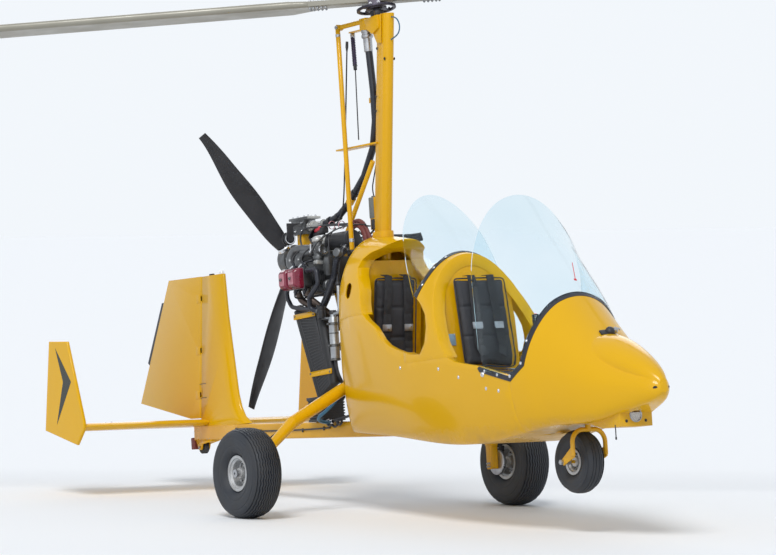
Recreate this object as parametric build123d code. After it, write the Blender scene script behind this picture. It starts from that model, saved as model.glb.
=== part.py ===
# Two-seat tandem gyrocopter: open cockpit pod on a keel tube, pusher engine, two-blade rotor, three wheels.
# Millimetres. +X is the nose, +Y the port side, +Z up. The origin is on the ground, under the rotor hub.
from build123d import *
from math import atan2, cos, degrees, radians, sin, tan
import os

os.makedirs("parts", exist_ok=True)

# Driving dimensions: stance and wheels
TRACK = 1590
MAIN_AXLE_X = -190
NOSE_AXLE_X = 1483
MAIN_TYRE_R, MAIN_TYRE_W, MAIN_RIM_R = 221.5, 160, 88
NOSE_TYRE_R, NOSE_TYRE_W, NOSE_RIM_R = 150, 100, 62
FORK_X = 1568
FORK_HALF = 94

# Driving dimensions: keel, mast and rotor
KEEL_RISE = 0.052
KEEL_Z, KEEL_W, KEEL_H, KEEL_WALL = 364, 60, 80, 3.5
KEEL_FRONT, KEEL_REAR = 1390, -1925
MAST_LEAN = 7.7
MAST_X0, MAST_Z0 = 12, 1896.5
MAST_TOP = 2452
MAST_CHORD, MAST_WIDTH = 105, 58
HUB_Z = 2530
DISC_TILT = 9
TEETER = 5.6
BLADE_AZIMUTH = 50
ROTOR_R, BLADE_CHORD, BLADE_T = 4265, 220, 26
HUB_BAR_L, HUB_BAR_W, HUB_BAR_T = 330, 84, 24

# Driving dimensions: pod
SKIN = 6
HOOP_WALL = 60
LIP_WALL, LIP_T, ARCH_LIP = 30, 9, 42
COWL_X = 1392
GLASS_T = 4
TRIM_T = 3

# Driving dimensions: propeller and tail
PROP_X, PROP_Z, PROP_R = -905, 1322, 808
TAIL_HALF = 770
FIN_T = 54

# Pod sections: station x, half width, half width of the flat belly, belly z, widest z, crown z
POD = [
    (2184, 20, 8, 428, 448, 470),
    (2150, 56, 22, 400, 450, 506),
    (2060, 102, 54, 372, 458, 552),
    (1900, 168, 104, 338, 480, 636),
    (1700, 236, 160, 318, 518, 800),
    (1500, 288, 200, 314, 560, 985),
    (1150, 322, 230, 276, 610, 1090),
    (700, 328, 230, 290, 680, 1200),
    (300, 305, 200, 345, 780, 1300),
    (0, 260, 178, 380, 950, 1355),
    (-210, 202, 140, 402, 1020, 1358),
]
# Foot blister on the nose: station x, half width, centre z, height
BLISTER = [
    (1640, 146, 640, 90),
    (1780, 142, 616, 112),
    (1910, 118, 584, 104),
    (2030, 88, 542, 80),
    (2125, 54, 500, 54),
    (2182, 20, 466, 24),
]
# Windshields: station x, half width, widest z, crown z
FRONT_GLASS = [
    (1120, 334, 985, 1450),
    (1250, 325, 800, 1300),
    (1360, 312, 715, 1172),
    (1450, 302, 650, 1064),
    (1510, 286, 600, 993),
    (1550, 269, 571, 948),
    (1594, 257, 508, 902),
]
REAR_GLASS = [
    (340, 287, 1230, 1558),
    (400, 294, 1180, 1498),
    (500, 295, 1075, 1391),
    (570, 278, 940, 1306),
    (610, 262, 848, 1257),
    (656, 246, 745, 1205),
]
# Side profiles (x, z) of the cut-outs in the pod, from the top of the rear edge round to the top of the front edge
FRONT_CUT = [
    (690, 1700), (676, 1215), (694, 1110), (718, 1025), (765, 925), (850, 770), (915, 690), (975, 664),
    (1173, 628), (1392, 566), (1469, 618), (1493, 717), (1518, 813), (1537, 899), (1560, 965), (1575, 1700),
]
REAR_CUT = [
    (170, 1700), (160, 1320), (112, 1286), (56, 1270), (14, 1238), (8, 1200), (26, 1162), (56, 1126), (87, 1074),
    (106, 1010), (126, 966), (178, 930), (252, 892), (302, 852), (334, 823), (388, 791), (466, 764), (600, 728), (684, 722), (726, 775), (728, 850), (700, 915), (640, 972), (578, 1012), (606, 1110),
    (622, 1185), (630, 1700),
]
BIG = 1200
# Smallest piece in cubic millimetres that is kept
CRUMB = 400


def along_x(x):
    """Plane across the craft at station x: local x is port, local y is up."""
    return Plane(origin=(x, 0, 0), x_dir=(0, 1, 0), z_dir=(1, 0, 0))


SIDE = Plane(origin=(0, 0, 0), x_dir=(1, 0, 0), z_dir=(0, -1, 0))


def side_solid(points, y0, y1, radius=0.0, grow=0.0):
    """Solid of a side profile of (x, z) points between two widths, its outline moved outwards by grow."""
    with BuildPart() as part:
        with BuildSketch(SIDE):
            with BuildLine():
                if radius:
                    FilletPolyline(*points, radius=radius, close=True)
                else:
                    Polyline(*points, close=True)
            make_face()
            if grow:
                offset(amount=grow, kind=Kind.INTERSECTION)
        extrude(amount=y1 - y0)
    return Pos(0, y1, 0) * part.part


def egg(x, half, flat, low, mid, high):
    """Closed body section: two quarter ellipses over a flat belly with elliptic bilges."""
    port = EllipticalCenterArc((0, mid), half, high - mid, 0, arc_size=90)
    starboard = EllipticalCenterArc((0, mid), half, high - mid, 90, arc_size=90)
    bilge_s = EllipticalCenterArc((-flat, mid), half - flat, mid - low, 180, arc_size=90)
    belly = Line((-flat, low), (flat, low))
    bilge_p = EllipticalCenterArc((flat, mid), half - flat, mid - low, 270, arc_size=90)
    return along_x(x) * make_face([port, starboard, bilge_s, belly, bilge_p])


def pod_body(inset, front=2200):
    """The pod's closed outer form, moved inwards by a wall's thickness."""
    faces = []
    for x, half, flat, low, mid, high in POD:
        if x < front:
            faces.append(egg(x, half - inset, max(flat - inset / 2, 4), low + inset, mid, high - inset))
    return loft(faces)


def arch(x, half, mid, high, foot):
    """Closed section of a windshield: an elliptic arch on straight sides."""
    port = EllipticalCenterArc((0, mid), half, high - mid, 0, arc_size=90)
    starboard = EllipticalCenterArc((0, mid), half, high - mid, 90, arc_size=90)
    return along_x(x) * make_face([port, starboard, Polyline((-half, mid), (-half, foot), (half, foot), (half, mid))])


def glass_body(table, inset, foot):
    return loft([arch(x, half - inset, mid, high - inset, foot) for x, half, mid, high in table])


def rod(a, b, r):
    """Round bar from a to b."""
    a, b = Vector(*a), Vector(*b)
    return Plane(origin=a, z_dir=b - a) * Cylinder(r, (b - a).length, align=(Align.CENTER, Align.CENTER, Align.MIN))


def pipe(points, r, bend, bore=0.0):
    """Round tube along runs joined by tangent arcs."""
    line = FilletPolyline(*points, radius=bend) if len(points) > 2 else Line(*points)
    start = Plane(origin=line @ 0, z_dir=line % 0)
    ring = start * Circle(r)
    if bore:
        ring -= start * Circle(bore)
    return sweep(ring, path=line)


def disc(center, axis, r, length, bore=0.0):
    """Round disc about its centre."""
    place = Plane(origin=center, z_dir=axis)
    body = Cylinder(r, length)
    if bore:
        body -= Cylinder(bore, length + 2)
    return place * body


def block(x0, x1, y0, y1, z0, z1):
    """Box between two corners."""
    return Pos((x0 + x1) / 2, (y0 + y1) / 2, (z0 + z1) / 2) * Box(x1 - x0, abs(y1 - y0), z1 - z0)


def save(name, shape):
    solids = [one for one in shape.solids() if one.volume > CRUMB]
    whole = solids[0] if len(solids) == 1 else Compound(children=list(solids))
    whole.label = name
    export_step(whole, f"parts/{name}.step")
    return shape


def keel_z(x):
    """Height of the keel tube's underside."""
    return KEEL_Z - KEEL_RISE * x


def mast_x(z):
    """Station of the mast's centre line."""
    return MAST_X0 + (z - MAST_Z0) * tan(radians(MAST_LEAN))


# Keel tube: square tube from under the front seat to the tail
def keel_bar(inset):
    """Box of the keel, moved inwards by a wall's thickness."""
    bar = Box(KEEL_FRONT - KEEL_REAR - 2 * inset, KEEL_W - 2 * inset, KEEL_H - 2 * inset)
    bar = fillet(bar.edges().filter_by(Axis.X), 8 - inset)
    x = (KEEL_FRONT + KEEL_REAR) / 2
    return Pos(x, 0, keel_z(x) + KEEL_H / 2) * Rot(0, degrees(atan2(KEEL_RISE, 1)), 0) * bar


def mast_section():
    nose = MAST_CHORD / 2 - MAST_WIDTH / 2
    tail = -MAST_CHORD / 2
    front = CenterArc((nose, 0), MAST_WIDTH / 2, -90, 180)
    rest = Polyline((nose, MAST_WIDTH / 2), (tail + 8, MAST_WIDTH / 2 - 8), (tail, MAST_WIDTH / 2 - 16),
                    (tail, 16 - MAST_WIDTH / 2), (tail + 8, 8 - MAST_WIDTH / 2), (nose, -MAST_WIDTH / 2))
    return make_face([front, rest])


def mast():
    foot = keel_z(MAIN_AXLE_X) + KEEL_H
    low = Vector(mast_x(foot), 0, foot)
    high = Vector(mast_x(MAST_TOP), 0, MAST_TOP)
    base = Plane(origin=low, x_dir=(1, 0, 0), z_dir=(0, 0, 1))
    column = extrude(base * mast_section(), amount=(high - low).length, dir=(high - low).normalized())
    return column - keel_bar(0)


# Pod: one moulded skin, split into nose cowl, tub, hoop between the seats and rear arch
outer = pod_body(0)
NOSE_SOLID = 2140
inner = pod_body(SKIN) - block(NOSE_SOLID, 2300, -BIG, BIG, 200, 700)
inner_hoop = pod_body(HOOP_WALL, NOSE_SOLID)
front_cut = side_solid(FRONT_CUT, -BIG, BIG)
rear_cut = side_solid(REAR_CUT, -BIG, BIG)
column = mast()
keel = keel_bar(0)

SHELL_REAR = MAST_CHORD / 2 + 8
BULKHEAD_T = 8


def rear_x(z):
    """Station of the pod's rear edge."""
    return mast_x(z) - SHELL_REAR


def rear_slab(front, back):
    """Slanting slab parallel to the mast, between two distances ahead of the pod's rear edge."""
    low, high = 200, 1500
    points = [(rear_x(low) + front, low), (rear_x(high) + front, high), (rear_x(high) + back, high), (rear_x(low) + back, low)]
    return side_solid(points, -BIG, BIG)


behind = rear_slab(0, -500)
bulkhead_slab = rear_slab(BULKHEAD_T, 0)
cowl_box = block(COWL_X, 2300, -BIG, BIG, 200, 1200)
hoop_box = block(540, 960, -BIG, BIG, 690, 1300)
arch_box = block(-400, 200, -BIG, BIG, 960, 1500)

shell_open = outer - front_cut - rear_cut - behind
thin = shell_open - inner
thick = shell_open - inner_hoop
lips = shell_open & (side_solid(FRONT_CUT, -BIG, BIG, grow=LIP_T) + side_solid(REAR_CUT, -BIG, BIG, grow=LIP_T))
lips -= pod_body(LIP_WALL, NOSE_SOLID)

LAMP_X, LAMP_Z, LAMP_R = 1952, 339, 31
LIGHT_BOX = (1760, LAMP_X, 92, 286, 392)
nose_blister = loft([along_x(x) * Pos(0, z) * Ellipse(half, height) for x, half, z, height in BLISTER])
light_box = side_solid([(LIGHT_BOX[1], LIGHT_BOX[3]), (LIGHT_BOX[1], LIGHT_BOX[4]), (LIGHT_BOX[0], LIGHT_BOX[4]),
                        (LIGHT_BOX[0] - 60, 316), (LIGHT_BOX[0] + 60, LIGHT_BOX[3])], -LIGHT_BOX[2], LIGHT_BOX[2])
nose = (thin & cowl_box) + (nose_blister - inner - block(900, 1680, -BIG, BIG, 0, 1500)) + (light_box - inner)
STEM_R, SOCKET_R, SOCKET_TOP = 14, 22, 440
nose -= Pos(FORK_X, 0, 330) * Cylinder(SOCKET_R, 120)
nose -= disc((LAMP_X, 0, LAMP_Z), (1, 0, 0), LAMP_R, 60)
hoop = thick & hoop_box
rear_arch = ((thin + (thick & side_solid(REAR_CUT, -BIG, BIG, grow=ARCH_LIP))) & arch_box) - bulkhead_slab
HOLE_X, HOLE_Z, HOLE_W, HOLE_H = -40, 1091, 54, 76
rear_arch -= extrude(Plane(origin=(HOLE_X, 400, HOLE_Z), x_dir=(1, 0, 0), z_dir=(0, -1, 0)) * SlotOverall(
    HOLE_H, HOLE_W, rotation=82), amount=800)
tub = ((thin + lips) & block(-400, COWL_X, -BIG, BIG, 200, 1200)) - hoop_box - arch_box - bulkhead_slab
bulkhead = (outer & bulkhead_slab) - column - keel
tub -= keel
save("nose_cowl", nose)
save("mid_hoop", hoop)
save("rear_arch", rear_arch - column)
save("pod_tub", tub)
save("rear_bulkhead", bulkhead)
save("keel_tube", keel - keel_bar(KEEL_WALL))
lamp = disc((LAMP_X - 12, 0, LAMP_Z), (1, 0, 0), LAMP_R, 24)
save("landing_lamp", lamp)

# Mast boot: collar where the mast leaves the pod
BOOT_Z0, BOOT_Z1 = 1300, 1384
boot_low = Plane(origin=(mast_x(BOOT_Z0), 0, BOOT_Z0), x_dir=(1, 0, 0), z_dir=(0, 0, 1))
boot_high = Plane(origin=(mast_x(BOOT_Z1), 0, BOOT_Z1), x_dir=(1, 0, 0), z_dir=(0, 0, 1))
boot = loft([boot_low * RectangleRounded(MAST_CHORD + 30, MAST_WIDTH + 30, 34),
             boot_high * RectangleRounded(MAST_CHORD + 14, MAST_WIDTH + 14, 30)])
boot = boot - column - rear_arch - inner_hoop - bulkhead - behind
save("mast_boot", boot)
save("mast", column)

# Seats: moulded pans that also close the hoop, with black cushions
SEAT_W = 400
FRONT_BACK = [(676, 1190), (694, 1100), (720, 1010), (742, 880), (752, 760), (760, 640), (800, 560), (1180, 520)]
REAR_BACK = [(0, 1235), (-64, 765), (-66, 700), (-40, 640), (10, 610), (420, 560)]


def offset_profile(points, gap):
    """Profile band: the points, then the same points moved back and down."""
    return points + [(x - gap * 0.75, z - gap * 0.75) for x, z in reversed(points)]


front_pan = side_solid(offset_profile(FRONT_BACK, 16), -SEAT_W / 2, SEAT_W / 2)
rear_pan = side_solid(offset_profile(REAR_BACK, 16), -SEAT_W / 2 + 20, SEAT_W / 2 - 20)
front_pan = (front_pan & inner_hoop) - keel
rear_pan = (rear_pan & inner_hoop) - column - keel - bulkhead - boot - rear_arch
save("front_seat_shell", front_pan)
save("rear_seat_shell", rear_pan)


def cushion(x0, z0, length, lean, width, thick):
    """Closed pad: length along the lean, thickness to its upper side."""
    pad = Box(length, width, thick, align=(Align.MIN, Align.CENTER, Align.MIN))
    pad = fillet(pad.edges(), thick * 0.3)
    return Pos(x0, 0, z0) * Rot(0, -lean, 0) * pad


front_cushions = (cushion(845, 566, 320, -6, 340, 60) + cushion(822, 650, 440, 98, 300, 50))
rear_cushions = (cushion(40, 612, 360, -6.5, 330, 60) + cushion(-18, 700, 450, 82.25, 250, 50))
save("seat_cushions", (front_cushions - front_pan) + (rear_cushions - rear_pan))

# Windshields: blown acrylic bubbles on black edge trims
trim_skin = pod_body(-TRIM_T) - outer
FRONT_BAND = [(1160, 620), (1173, 628), (1392, 566), (1469, 618), (1493, 717), (1518, 813), (1537, 899), (1560, 965),
              (1575, 1250), (1600, 1250), (1588, 960), (1562, 893), (1542, 806), (1518, 711), (1492, 606),
              (1398, 540), (1173, 602)]
REAR_BAND = [(578, 1012), (606, 1110), (622, 1185), (628, 1260), (652, 1260), (646, 1183), (630, 1104), (602, 1000)]
front_trim = side_solid(FRONT_BAND, -BIG, BIG) & trim_skin
rear_trim = side_solid(REAR_BAND, -BIG, BIG) & trim_skin
front_bubble = glass_body(FRONT_GLASS, 0, 460) - glass_body(FRONT_GLASS, GLASS_T, 450)
rear_bubble = glass_body(REAR_GLASS, 0, 700) - glass_body(REAR_GLASS, GLASS_T, 690)
FRONT_PANE = [(1173, 620), (1392, 558), (1474, 612), (1498, 714), (1523, 810), (1548, 895), (1574, 945), (1588, 1000),
              (1588, 1500), (1124, 1500), (1126, 1400), (1140, 1200), (1152, 1000), (1162, 800)]
REAR_PANE = [(575, 1006), (610, 1108), (632, 1186), (650, 1215), (650, 1600), (345, 1600), (393, 1480), (450, 1342),
             (498, 1242), (548, 1100)]
front_pane = (front_bubble & side_solid(FRONT_PANE, -BIG, BIG)) - pod_body(-TRIM_T)
rear_pane = (rear_bubble & side_solid(REAR_PANE, -BIG, BIG)) - pod_body(-TRIM_T)
save("windshield_trims", front_trim + rear_trim)
save("front_windshield", front_pane)
save("rear_windshield", rear_pane)

# Instrument panel under the cowl's arch, sticks and pedals
panel = (side_solid([(1452, 640), (1500, 930), (1512, 930), (1464, 640)], -400, 400) & inner)
panel -= block(1400, 1600, -90, 90, 600, 700)
save("instrument_panel", panel)
STICK_R = 11
front_stick = pipe([(1240, 0, 375), (1240, 0, 560), (1210, 0, 780)], STICK_R, 120)
rear_stick = pipe([(520, 0, 418), (520, 0, 560), (480, 0, 800)], STICK_R, 120)
grips = [Pos(1208, 0, 810) * Rot(0, -8, 0) * Cylinder(17, 110), Pos(476, 0, 830) * Rot(0, -8, 0) * Cylinder(17, 110)]
controls = (front_stick + grips[0]) + (rear_stick + grips[1]) - keel
save("control_sticks", controls)
pedals = [rod((1700, side * 40, 430), (1700, side * 150, 430), 9)
          + block(1690, 1700, side * 95 - 40, side * 95 + 40, 380, 520) for side in (-1, 1)]
pedal_bar = rod((1700, -200, 430), (1700, 200, 430), 9)
pedals = (pedals[0] + pedals[1] + pedal_bar) & inner
save("rudder_pedals", pedals)

# Main gear: sprung leg behind the bulkhead, axle posts, brake plates
LEG_R, LEG_TIP_R = 31, 24
post_y = TRACK / 2 - 112


def leg(side):
    inner_run = pipe([(-278, 0, 676), (-266, side * 174, 612), (-232, side * 489, 462)], LEG_R, 300)
    outer_run = Plane(origin=(-232, side * 489, 462), z_dir=(36, side * 170, -125)) * Cone(
        LEG_R, LEG_TIP_R, 214, align=(Align.CENTER, Align.CENTER, Align.MIN))
    return inner_run + outer_run + Pos(-232, side * 489, 462) * Sphere(LEG_R + 1)


legs = leg(-1) + leg(1) + Pos(-278, 0, 676) * Sphere(LEG_R)
AXLE_R = 12
posts, plates = [], []
for side in (-1, 1):
    post = block(MAIN_AXLE_X - 34, MAIN_AXLE_X + 34, min(side * post_y, side * (post_y - 46)),
                 max(side * post_y, side * (post_y - 46)), 188, 348)
    post = fillet(post.edges().filter_by(Axis.Y), 14)
    axle = rod((MAIN_AXLE_X, side * (post_y - 10), MAIN_TYRE_R), (MAIN_AXLE_X, side * (TRACK / 2 + 72), MAIN_TYRE_R), AXLE_R)
    nut = disc((MAIN_AXLE_X, side * (TRACK / 2 + 66), MAIN_TYRE_R), (0, 1, 0), 19, 12)
    posts.append(post + axle + nut)
    plate = disc((MAIN_AXLE_X, side * (post_y + 9), MAIN_TYRE_R), (0, 1, 0), 64, 18, AXLE_R)
    plates.append(plate)
posts = posts[0] + posts[1]
save("gear_legs", legs - posts)
save("axle_posts", posts)
save("brake_plates", plates[0] + plates[1])


# Wheels
def tyre(x, y, z, r, width, rim_r):
    """Full-section tyre about a transverse axle."""
    half, seat = width / 2, rim_r - 9
    crown = ThreePointArc((-half * 0.7, r - 9), (0, r), (half * 0.7, r - 9))
    wall_p = ThreePointArc((half * 0.7, r - 9), (half, (r + rim_r) / 2), (half * 0.64, rim_r + 4))
    bead = Polyline((half * 0.64, rim_r + 4), (half * 0.62, seat), (-half * 0.62, seat), (-half * 0.64, rim_r + 4))
    wall_s = ThreePointArc((-half * 0.64, rim_r + 4), (-half, (r + rim_r) / 2), (-half * 0.7, r - 9))
    section = Plane(origin=(0, 0, 0), x_dir=(0, 1, 0), z_dir=(1, 0, 0)) * make_face([crown, wall_p, bead, wall_s])
    return Pos(x, y, z) * revolve(section, Axis.Y, 360)


def rim(x, y, z, width, rim_r, bore):
    """Two-flange rim with a dished centre and a hub."""
    seat, half = rim_r - 9.4, width * 0.32 + 1
    points = [(0, seat - 8), (half - 10, seat - 8), (half - 6, seat), (half, seat), (half, rim_r), (half + 5, rim_r),
              (half + 5, seat - 4), (half - 2, seat - 6), (half - 8, seat - 14), (10, seat - 16), (6, bore + 22),
              (half - 4, bore + 14), (half - 2, bore), (0, bore)]
    outline = points[:-1] + [(-a, b) for a, b in reversed(points)][0:-1]
    section = Plane(origin=(0, 0, 0), x_dir=(0, 1, 0), z_dir=(1, 0, 0)) * make_face(Polyline(*outline, close=True))
    body = revolve(section, Axis.Y, 360)
    holes = [Rot(0, a, 0) * Pos((bore + seat) / 2 + 2, 0, 0) * Rot(90, 0, 0) * Cylinder(8, 60) for a in range(45, 360, 90)]
    for hole in holes:
        body -= hole
    return Pos(x, y, z) * body


RUN = 0.05
for side, word in ((-1, "right"), (1, "left")):
    place = (MAIN_AXLE_X, side * TRACK / 2, MAIN_TYRE_R)
    save(f"main_tyre_{word}", tyre(*place, MAIN_TYRE_R, MAIN_TYRE_W, MAIN_RIM_R))
    save(f"main_rim_{word}", rim(*place, MAIN_TYRE_W, MAIN_RIM_R, AXLE_R + RUN))
place = (NOSE_AXLE_X, 0, NOSE_TYRE_R)
NOSE_AXLE_R, TOW_PIN = 8, 16
save("nose_tyre", tyre(*place, NOSE_TYRE_R, NOSE_TYRE_W, NOSE_RIM_R))
save("nose_rim", rim(*place, NOSE_TYRE_W, NOSE_RIM_R, NOSE_AXLE_R + RUN))

# Nose fork: bent tube over the wheel, trailing lugs, stem in a socket of the cowl
FORK_R, CROWN_Z = 11, 295
fork = pipe([(FORK_X, -FORK_HALF, 176), (FORK_X, -FORK_HALF, CROWN_Z), (FORK_X, FORK_HALF, CROWN_Z),
             (FORK_X, FORK_HALF, 176)], FORK_R, 60)
fork += rod((FORK_X, 0, CROWN_Z), (FORK_X, 0, SOCKET_TOP), STEM_R)
for side in (-1, 1):
    lug = side_solid([(FORK_X - 12, 214), (FORK_X + 12, 190), (FORK_X + 8, 168), (NOSE_AXLE_X + 8, NOSE_TYRE_R - 16),
                      (NOSE_AXLE_X - 14, NOSE_TYRE_R), (NOSE_AXLE_X, NOSE_TYRE_R + 14)], side * FORK_HALF - 4, side * FORK_HALF + 4)
    fork += lug
pin_end = FORK_HALF + 4 + TOW_PIN
fork += rod((NOSE_AXLE_X, -pin_end, NOSE_TYRE_R), (NOSE_AXLE_X, pin_end, NOSE_TYRE_R), NOSE_AXLE_R)
save("nose_fork", fork)
socket = disc((FORK_X, 0, 380), (0, 0, 1), SOCKET_R, 124, STEM_R + RUN) & inner
socket += disc((FORK_X, 0, 380), (0, 0, 1), SOCKET_R, 124, STEM_R + RUN)
socket_plate = (block(FORK_X - 60, FORK_X + 60, -150, 150, 424, 432) & inner) - disc((FORK_X, 0, 428), (0, 0, 1), STEM_R + 4, 20)
save("fork_socket", socket + (socket_plate - disc((FORK_X, 0, 428), (0, 0, 1), SOCKET_R - 1, 20)))

# Engine: opposed four cylinders, gearbox high on its rear end
CRANK_Z, CYL_X = 1195, (-494, -578)
SIDES = (-1, 1)


def join(shapes):
    """One shape of several."""
    whole = shapes[0]
    for shape in shapes[1:]:
        whole += shape
    return whole


def mirrored(points, side):
    """Points given for the port side, moved to the side asked for."""
    return [(x, side * y, z) for x, y, z in points]


crankcase = fillet(block(-690, -330, -92, 92, CRANK_Z - 80, CRANK_Z + 92).edges().filter_by(Axis.X), 26)
crankcase += disc((-345, 0, CRANK_Z - 4), (1, 0, 0), 74, 60)
BARREL_R, FIN_R, FINS, FIN_STEP, HEAD_Y, HEAD_HALF = 32, 40, 7, 12, 182, 40
barrels = []
for x in CYL_X:
    for side in SIDES:
        barrel = disc((x, side * 140, CRANK_Z), (0, 1, 0), BARREL_R, 110)
        barrel += join([disc((x, side * (104 + FIN_STEP * k), CRANK_Z), (0, 1, 0), FIN_R, 5) for k in range(FINS)])
        head = block(x - HEAD_HALF, x + HEAD_HALF, side * HEAD_Y, side * 228, CRANK_Z - 50, CRANK_Z + 50)
        barrels.append(barrel + fillet(head.edges().filter_by(Axis.Y), 14))
engine = crankcase + join(barrels)
save("engine_block", engine)

# Cover sections outwards from the head: y, width along the engine, height
COVER = [(229, 80, 104), (252, 80, 104), (276, 62, 84), (283, 52, 70)]
covers = []
for x in CYL_X:
    for side in SIDES:
        faces = [Plane(origin=(x, side * y, CRANK_Z - 2), x_dir=(1, 0, 0), z_dir=(0, side, 0)) * RectangleRounded(wide, high, 12)
                 for y, wide, high in COVER]
        covers.append(loft(faces, ruled=True))
save("valve_covers", join(covers))

SHAFT_R = 18
gearbox = loft([along_x(-692) * Pos(0, CRANK_Z + 30) * RectangleRounded(170, 210, 40),
                along_x(-740) * Pos(0, CRANK_Z + 60) * RectangleRounded(170, 230, 50),
                along_x(-800) * Pos(0, PROP_Z - 20) * RectangleRounded(120, 150, 55)], ruled=True)
gearbox += disc((-800, 0, PROP_Z), (1, 0, 0), 44, 40)
gearbox -= disc((-760, 0, PROP_Z), (1, 0, 0), SHAFT_R + RUN, 160)
save("gearbox", gearbox)

# Air box: can beside the mast with a rolled end cap, and the two carburettors it feeds
AIR_Y, AIR_Z, AIR_R = -62, 1368, 43
AIR_REAR, AIR_FRONT = -472, -232
airbox = rod((AIR_REAR, AIR_Y, AIR_Z), (AIR_FRONT, AIR_Y, AIR_Z), AIR_R)
airbox += rod((AIR_REAR - 12, AIR_Y, AIR_Z), (AIR_REAR + 5, AIR_Y, AIR_Z), AIR_R - 6)
airbox += join([disc((x, AIR_Y, AIR_Z), (1, 0, 0), AIR_R + 2, 8) for x in (AIR_REAR + 10, AIR_FRONT - 11)])
save("air_box", airbox)
CARB_X, CARB_Y, CARB_Z = -430, 150, 1330
carburettors = []
for side in SIDES:
    body = rod((CARB_X - 38, side * CARB_Y, CARB_Z), (CARB_X + 42, side * CARB_Y, CARB_Z), 24)
    body += rod((CARB_X, side * CARB_Y, CARB_Z - 52), (CARB_X, side * CARB_Y, CARB_Z + 46), 22)
    body += rod((CARB_X, side * CARB_Y, CARB_Z - 44), (CARB_X, side * CARB_Y, CARB_Z - 30), 28)
    carburettors.append(body - airbox)
save("carburettors", carburettors[0] + carburettors[1])
PIPE_R = 20
intakes = []
for side in SIDES:
    rear_run = mirrored([(-584, 194, CRANK_Z + 42), (-668, 182, CRANK_Z + 96), (-618, 168, CRANK_Z + 156),
                         (CARB_X - 36, CARB_Y + 4, CARB_Z + 10)], side)
    front_run = mirrored([(-500, 194, CRANK_Z + 42), (-586, 180, CRANK_Z + 88), (-552, 164, CRANK_Z + 132),
                          (CARB_X - 34, CARB_Y, CARB_Z - 8)], side)
    intakes.append(pipe(rear_run, PIPE_R, 42) + pipe(front_run, PIPE_R, 30))
intakes = intakes[0] + intakes[1]
save("intake_pipes", intakes - engine - carburettors[0] - carburettors[1])

# Prerotator drive on top of the gearbox: bracket, starter can, belt pulley on its arm
DRIVE_Z = 1474
drive = block(-845, -723, -34, 34, 1438, 1512) + block(-858, -682, -40, 40, 1512, 1524)
drive += rod((-724, 0, DRIVE_Z), (-583, 0, DRIVE_Z), 19) + disc((-700, 0, DRIVE_Z), (1, 0, 0), 27, 30)
drive += disc((-596, 0, DRIVE_Z), (1, 0, 0), 24, 10)
drive = drive - gearbox - intakes
PULLEY = (-770, -104, 1418)
PULLEY_R = 33
pulley = join([disc((PULLEY[0] + step, PULLEY[1], PULLEY[2]), (1, 0, 0), PULLEY_R, 7) for step in (-10, 10)])
pulley += disc(PULLEY, (1, 0, 0), PULLEY_R - 9, 26) + rod((-790, -104, 1418), (-744, -104, 1418), 9)
pulley += block(-754, -744, -122, -30, 1478, 1494) + block(-754, -744, -122, -88, 1402, 1494)
save("prerotator_drive", drive + pulley)

TANK_X, TANK_Y, TANK_Z0, TANK_Z1, TANK_R = -330, -150, 770, 985, 24
tank = rod((TANK_X, TANK_Y, TANK_Z0), (TANK_X, TANK_Y, TANK_Z1), TANK_R)
tank += rod((TANK_X, TANK_Y, TANK_Z1), (TANK_X, TANK_Y, TANK_Z1 + 22), 15)
tank += pipe([(TANK_X, TANK_Y, 998), (-267, TANK_Y, 1004), (-267, TANK_Y, 1140)], 9, 22)
tank += join([disc((TANK_X, TANK_Y, z), (0, 0, 1), TANK_R + 2, 14) for z in (842, 950)])
fitting = rod((-384, -182, 984), (-384, -182, 1034), 20) + rod((-384, -182, 984), (-350, -160, 976), 9)
save("oil_tank", tank + fitting)

# Exhaust: a pipe down from each head into a transverse silencer
SILENCER_X, SILENCER_Z = -405, 962
SILENCER_Y = 78
exhaust = rod((SILENCER_X, -SILENCER_Y, SILENCER_Z), (SILENCER_X, SILENCER_Y, SILENCER_Z), 40)
for side in SIDES:
    exhaust += Pos(SILENCER_X, side * SILENCER_Y, SILENCER_Z) * Sphere(40)
    for x, kink in ((CYL_X[0], 6), (CYL_X[1], -6)):
        run = mirrored([(x, 196, CRANK_Z - 46), (x, 172, CRANK_Z - 106), (SILENCER_X + kink * 2, 70, SILENCER_Z)], side)
        exhaust += pipe(run, 17, 40)
exhaust += pipe([(SILENCER_X, 60, SILENCER_Z), (SILENCER_X - 60, 60, 900), (SILENCER_X - 190, 60, 850)], 22, 50)
save("exhaust", exhaust - engine)

# Radiators: finned cores between round side tanks, leaning forward at the foot
RADIATOR = [(-640, 1040), (-440, 1020), (-350, 652), (-470, 596)]
RAD_Y0, RAD_Y1, RAD_TANK_R = 126, 172, 27
radiators = []
for side in SIDES:
    core = side_solid(RADIATOR, *sorted((side * RAD_Y0, side * RAD_Y1)))
    mid = side * (RAD_Y0 + RAD_Y1) / 2
    for a, b in ((RADIATOR[0], RADIATOR[3]), (RADIATOR[1], RADIATOR[2])):
        core += rod((a[0], mid, a[1]), (b[0], mid, b[1]), RAD_TANK_R)
    radiators.append(core - tank - exhaust)
radiators = join(radiators)
save("radiators", radiators)
# Straps round each radiator: height at the rear edge, stations of the rear and the front edge
STRAPS = [(995, -653, -456), (698, -538, -336)]
STRAP_H, STRAP_T, STRAP_RISE = 26, 6, 6
straps = []
for side in SIDES:
    for z, x0, x1 in STRAPS:
        band = [(x0, z), (x0, z + STRAP_H), (x1, z + STRAP_H + STRAP_RISE), (x1, z + STRAP_RISE)]
        y0, y1 = sorted((side * RAD_Y1, side * (RAD_Y1 + STRAP_T)))
        straps.append(side_solid(band, y0, y1))
straps = join(straps) - radiators - tank - exhaust
save("radiator_straps", straps)

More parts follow.
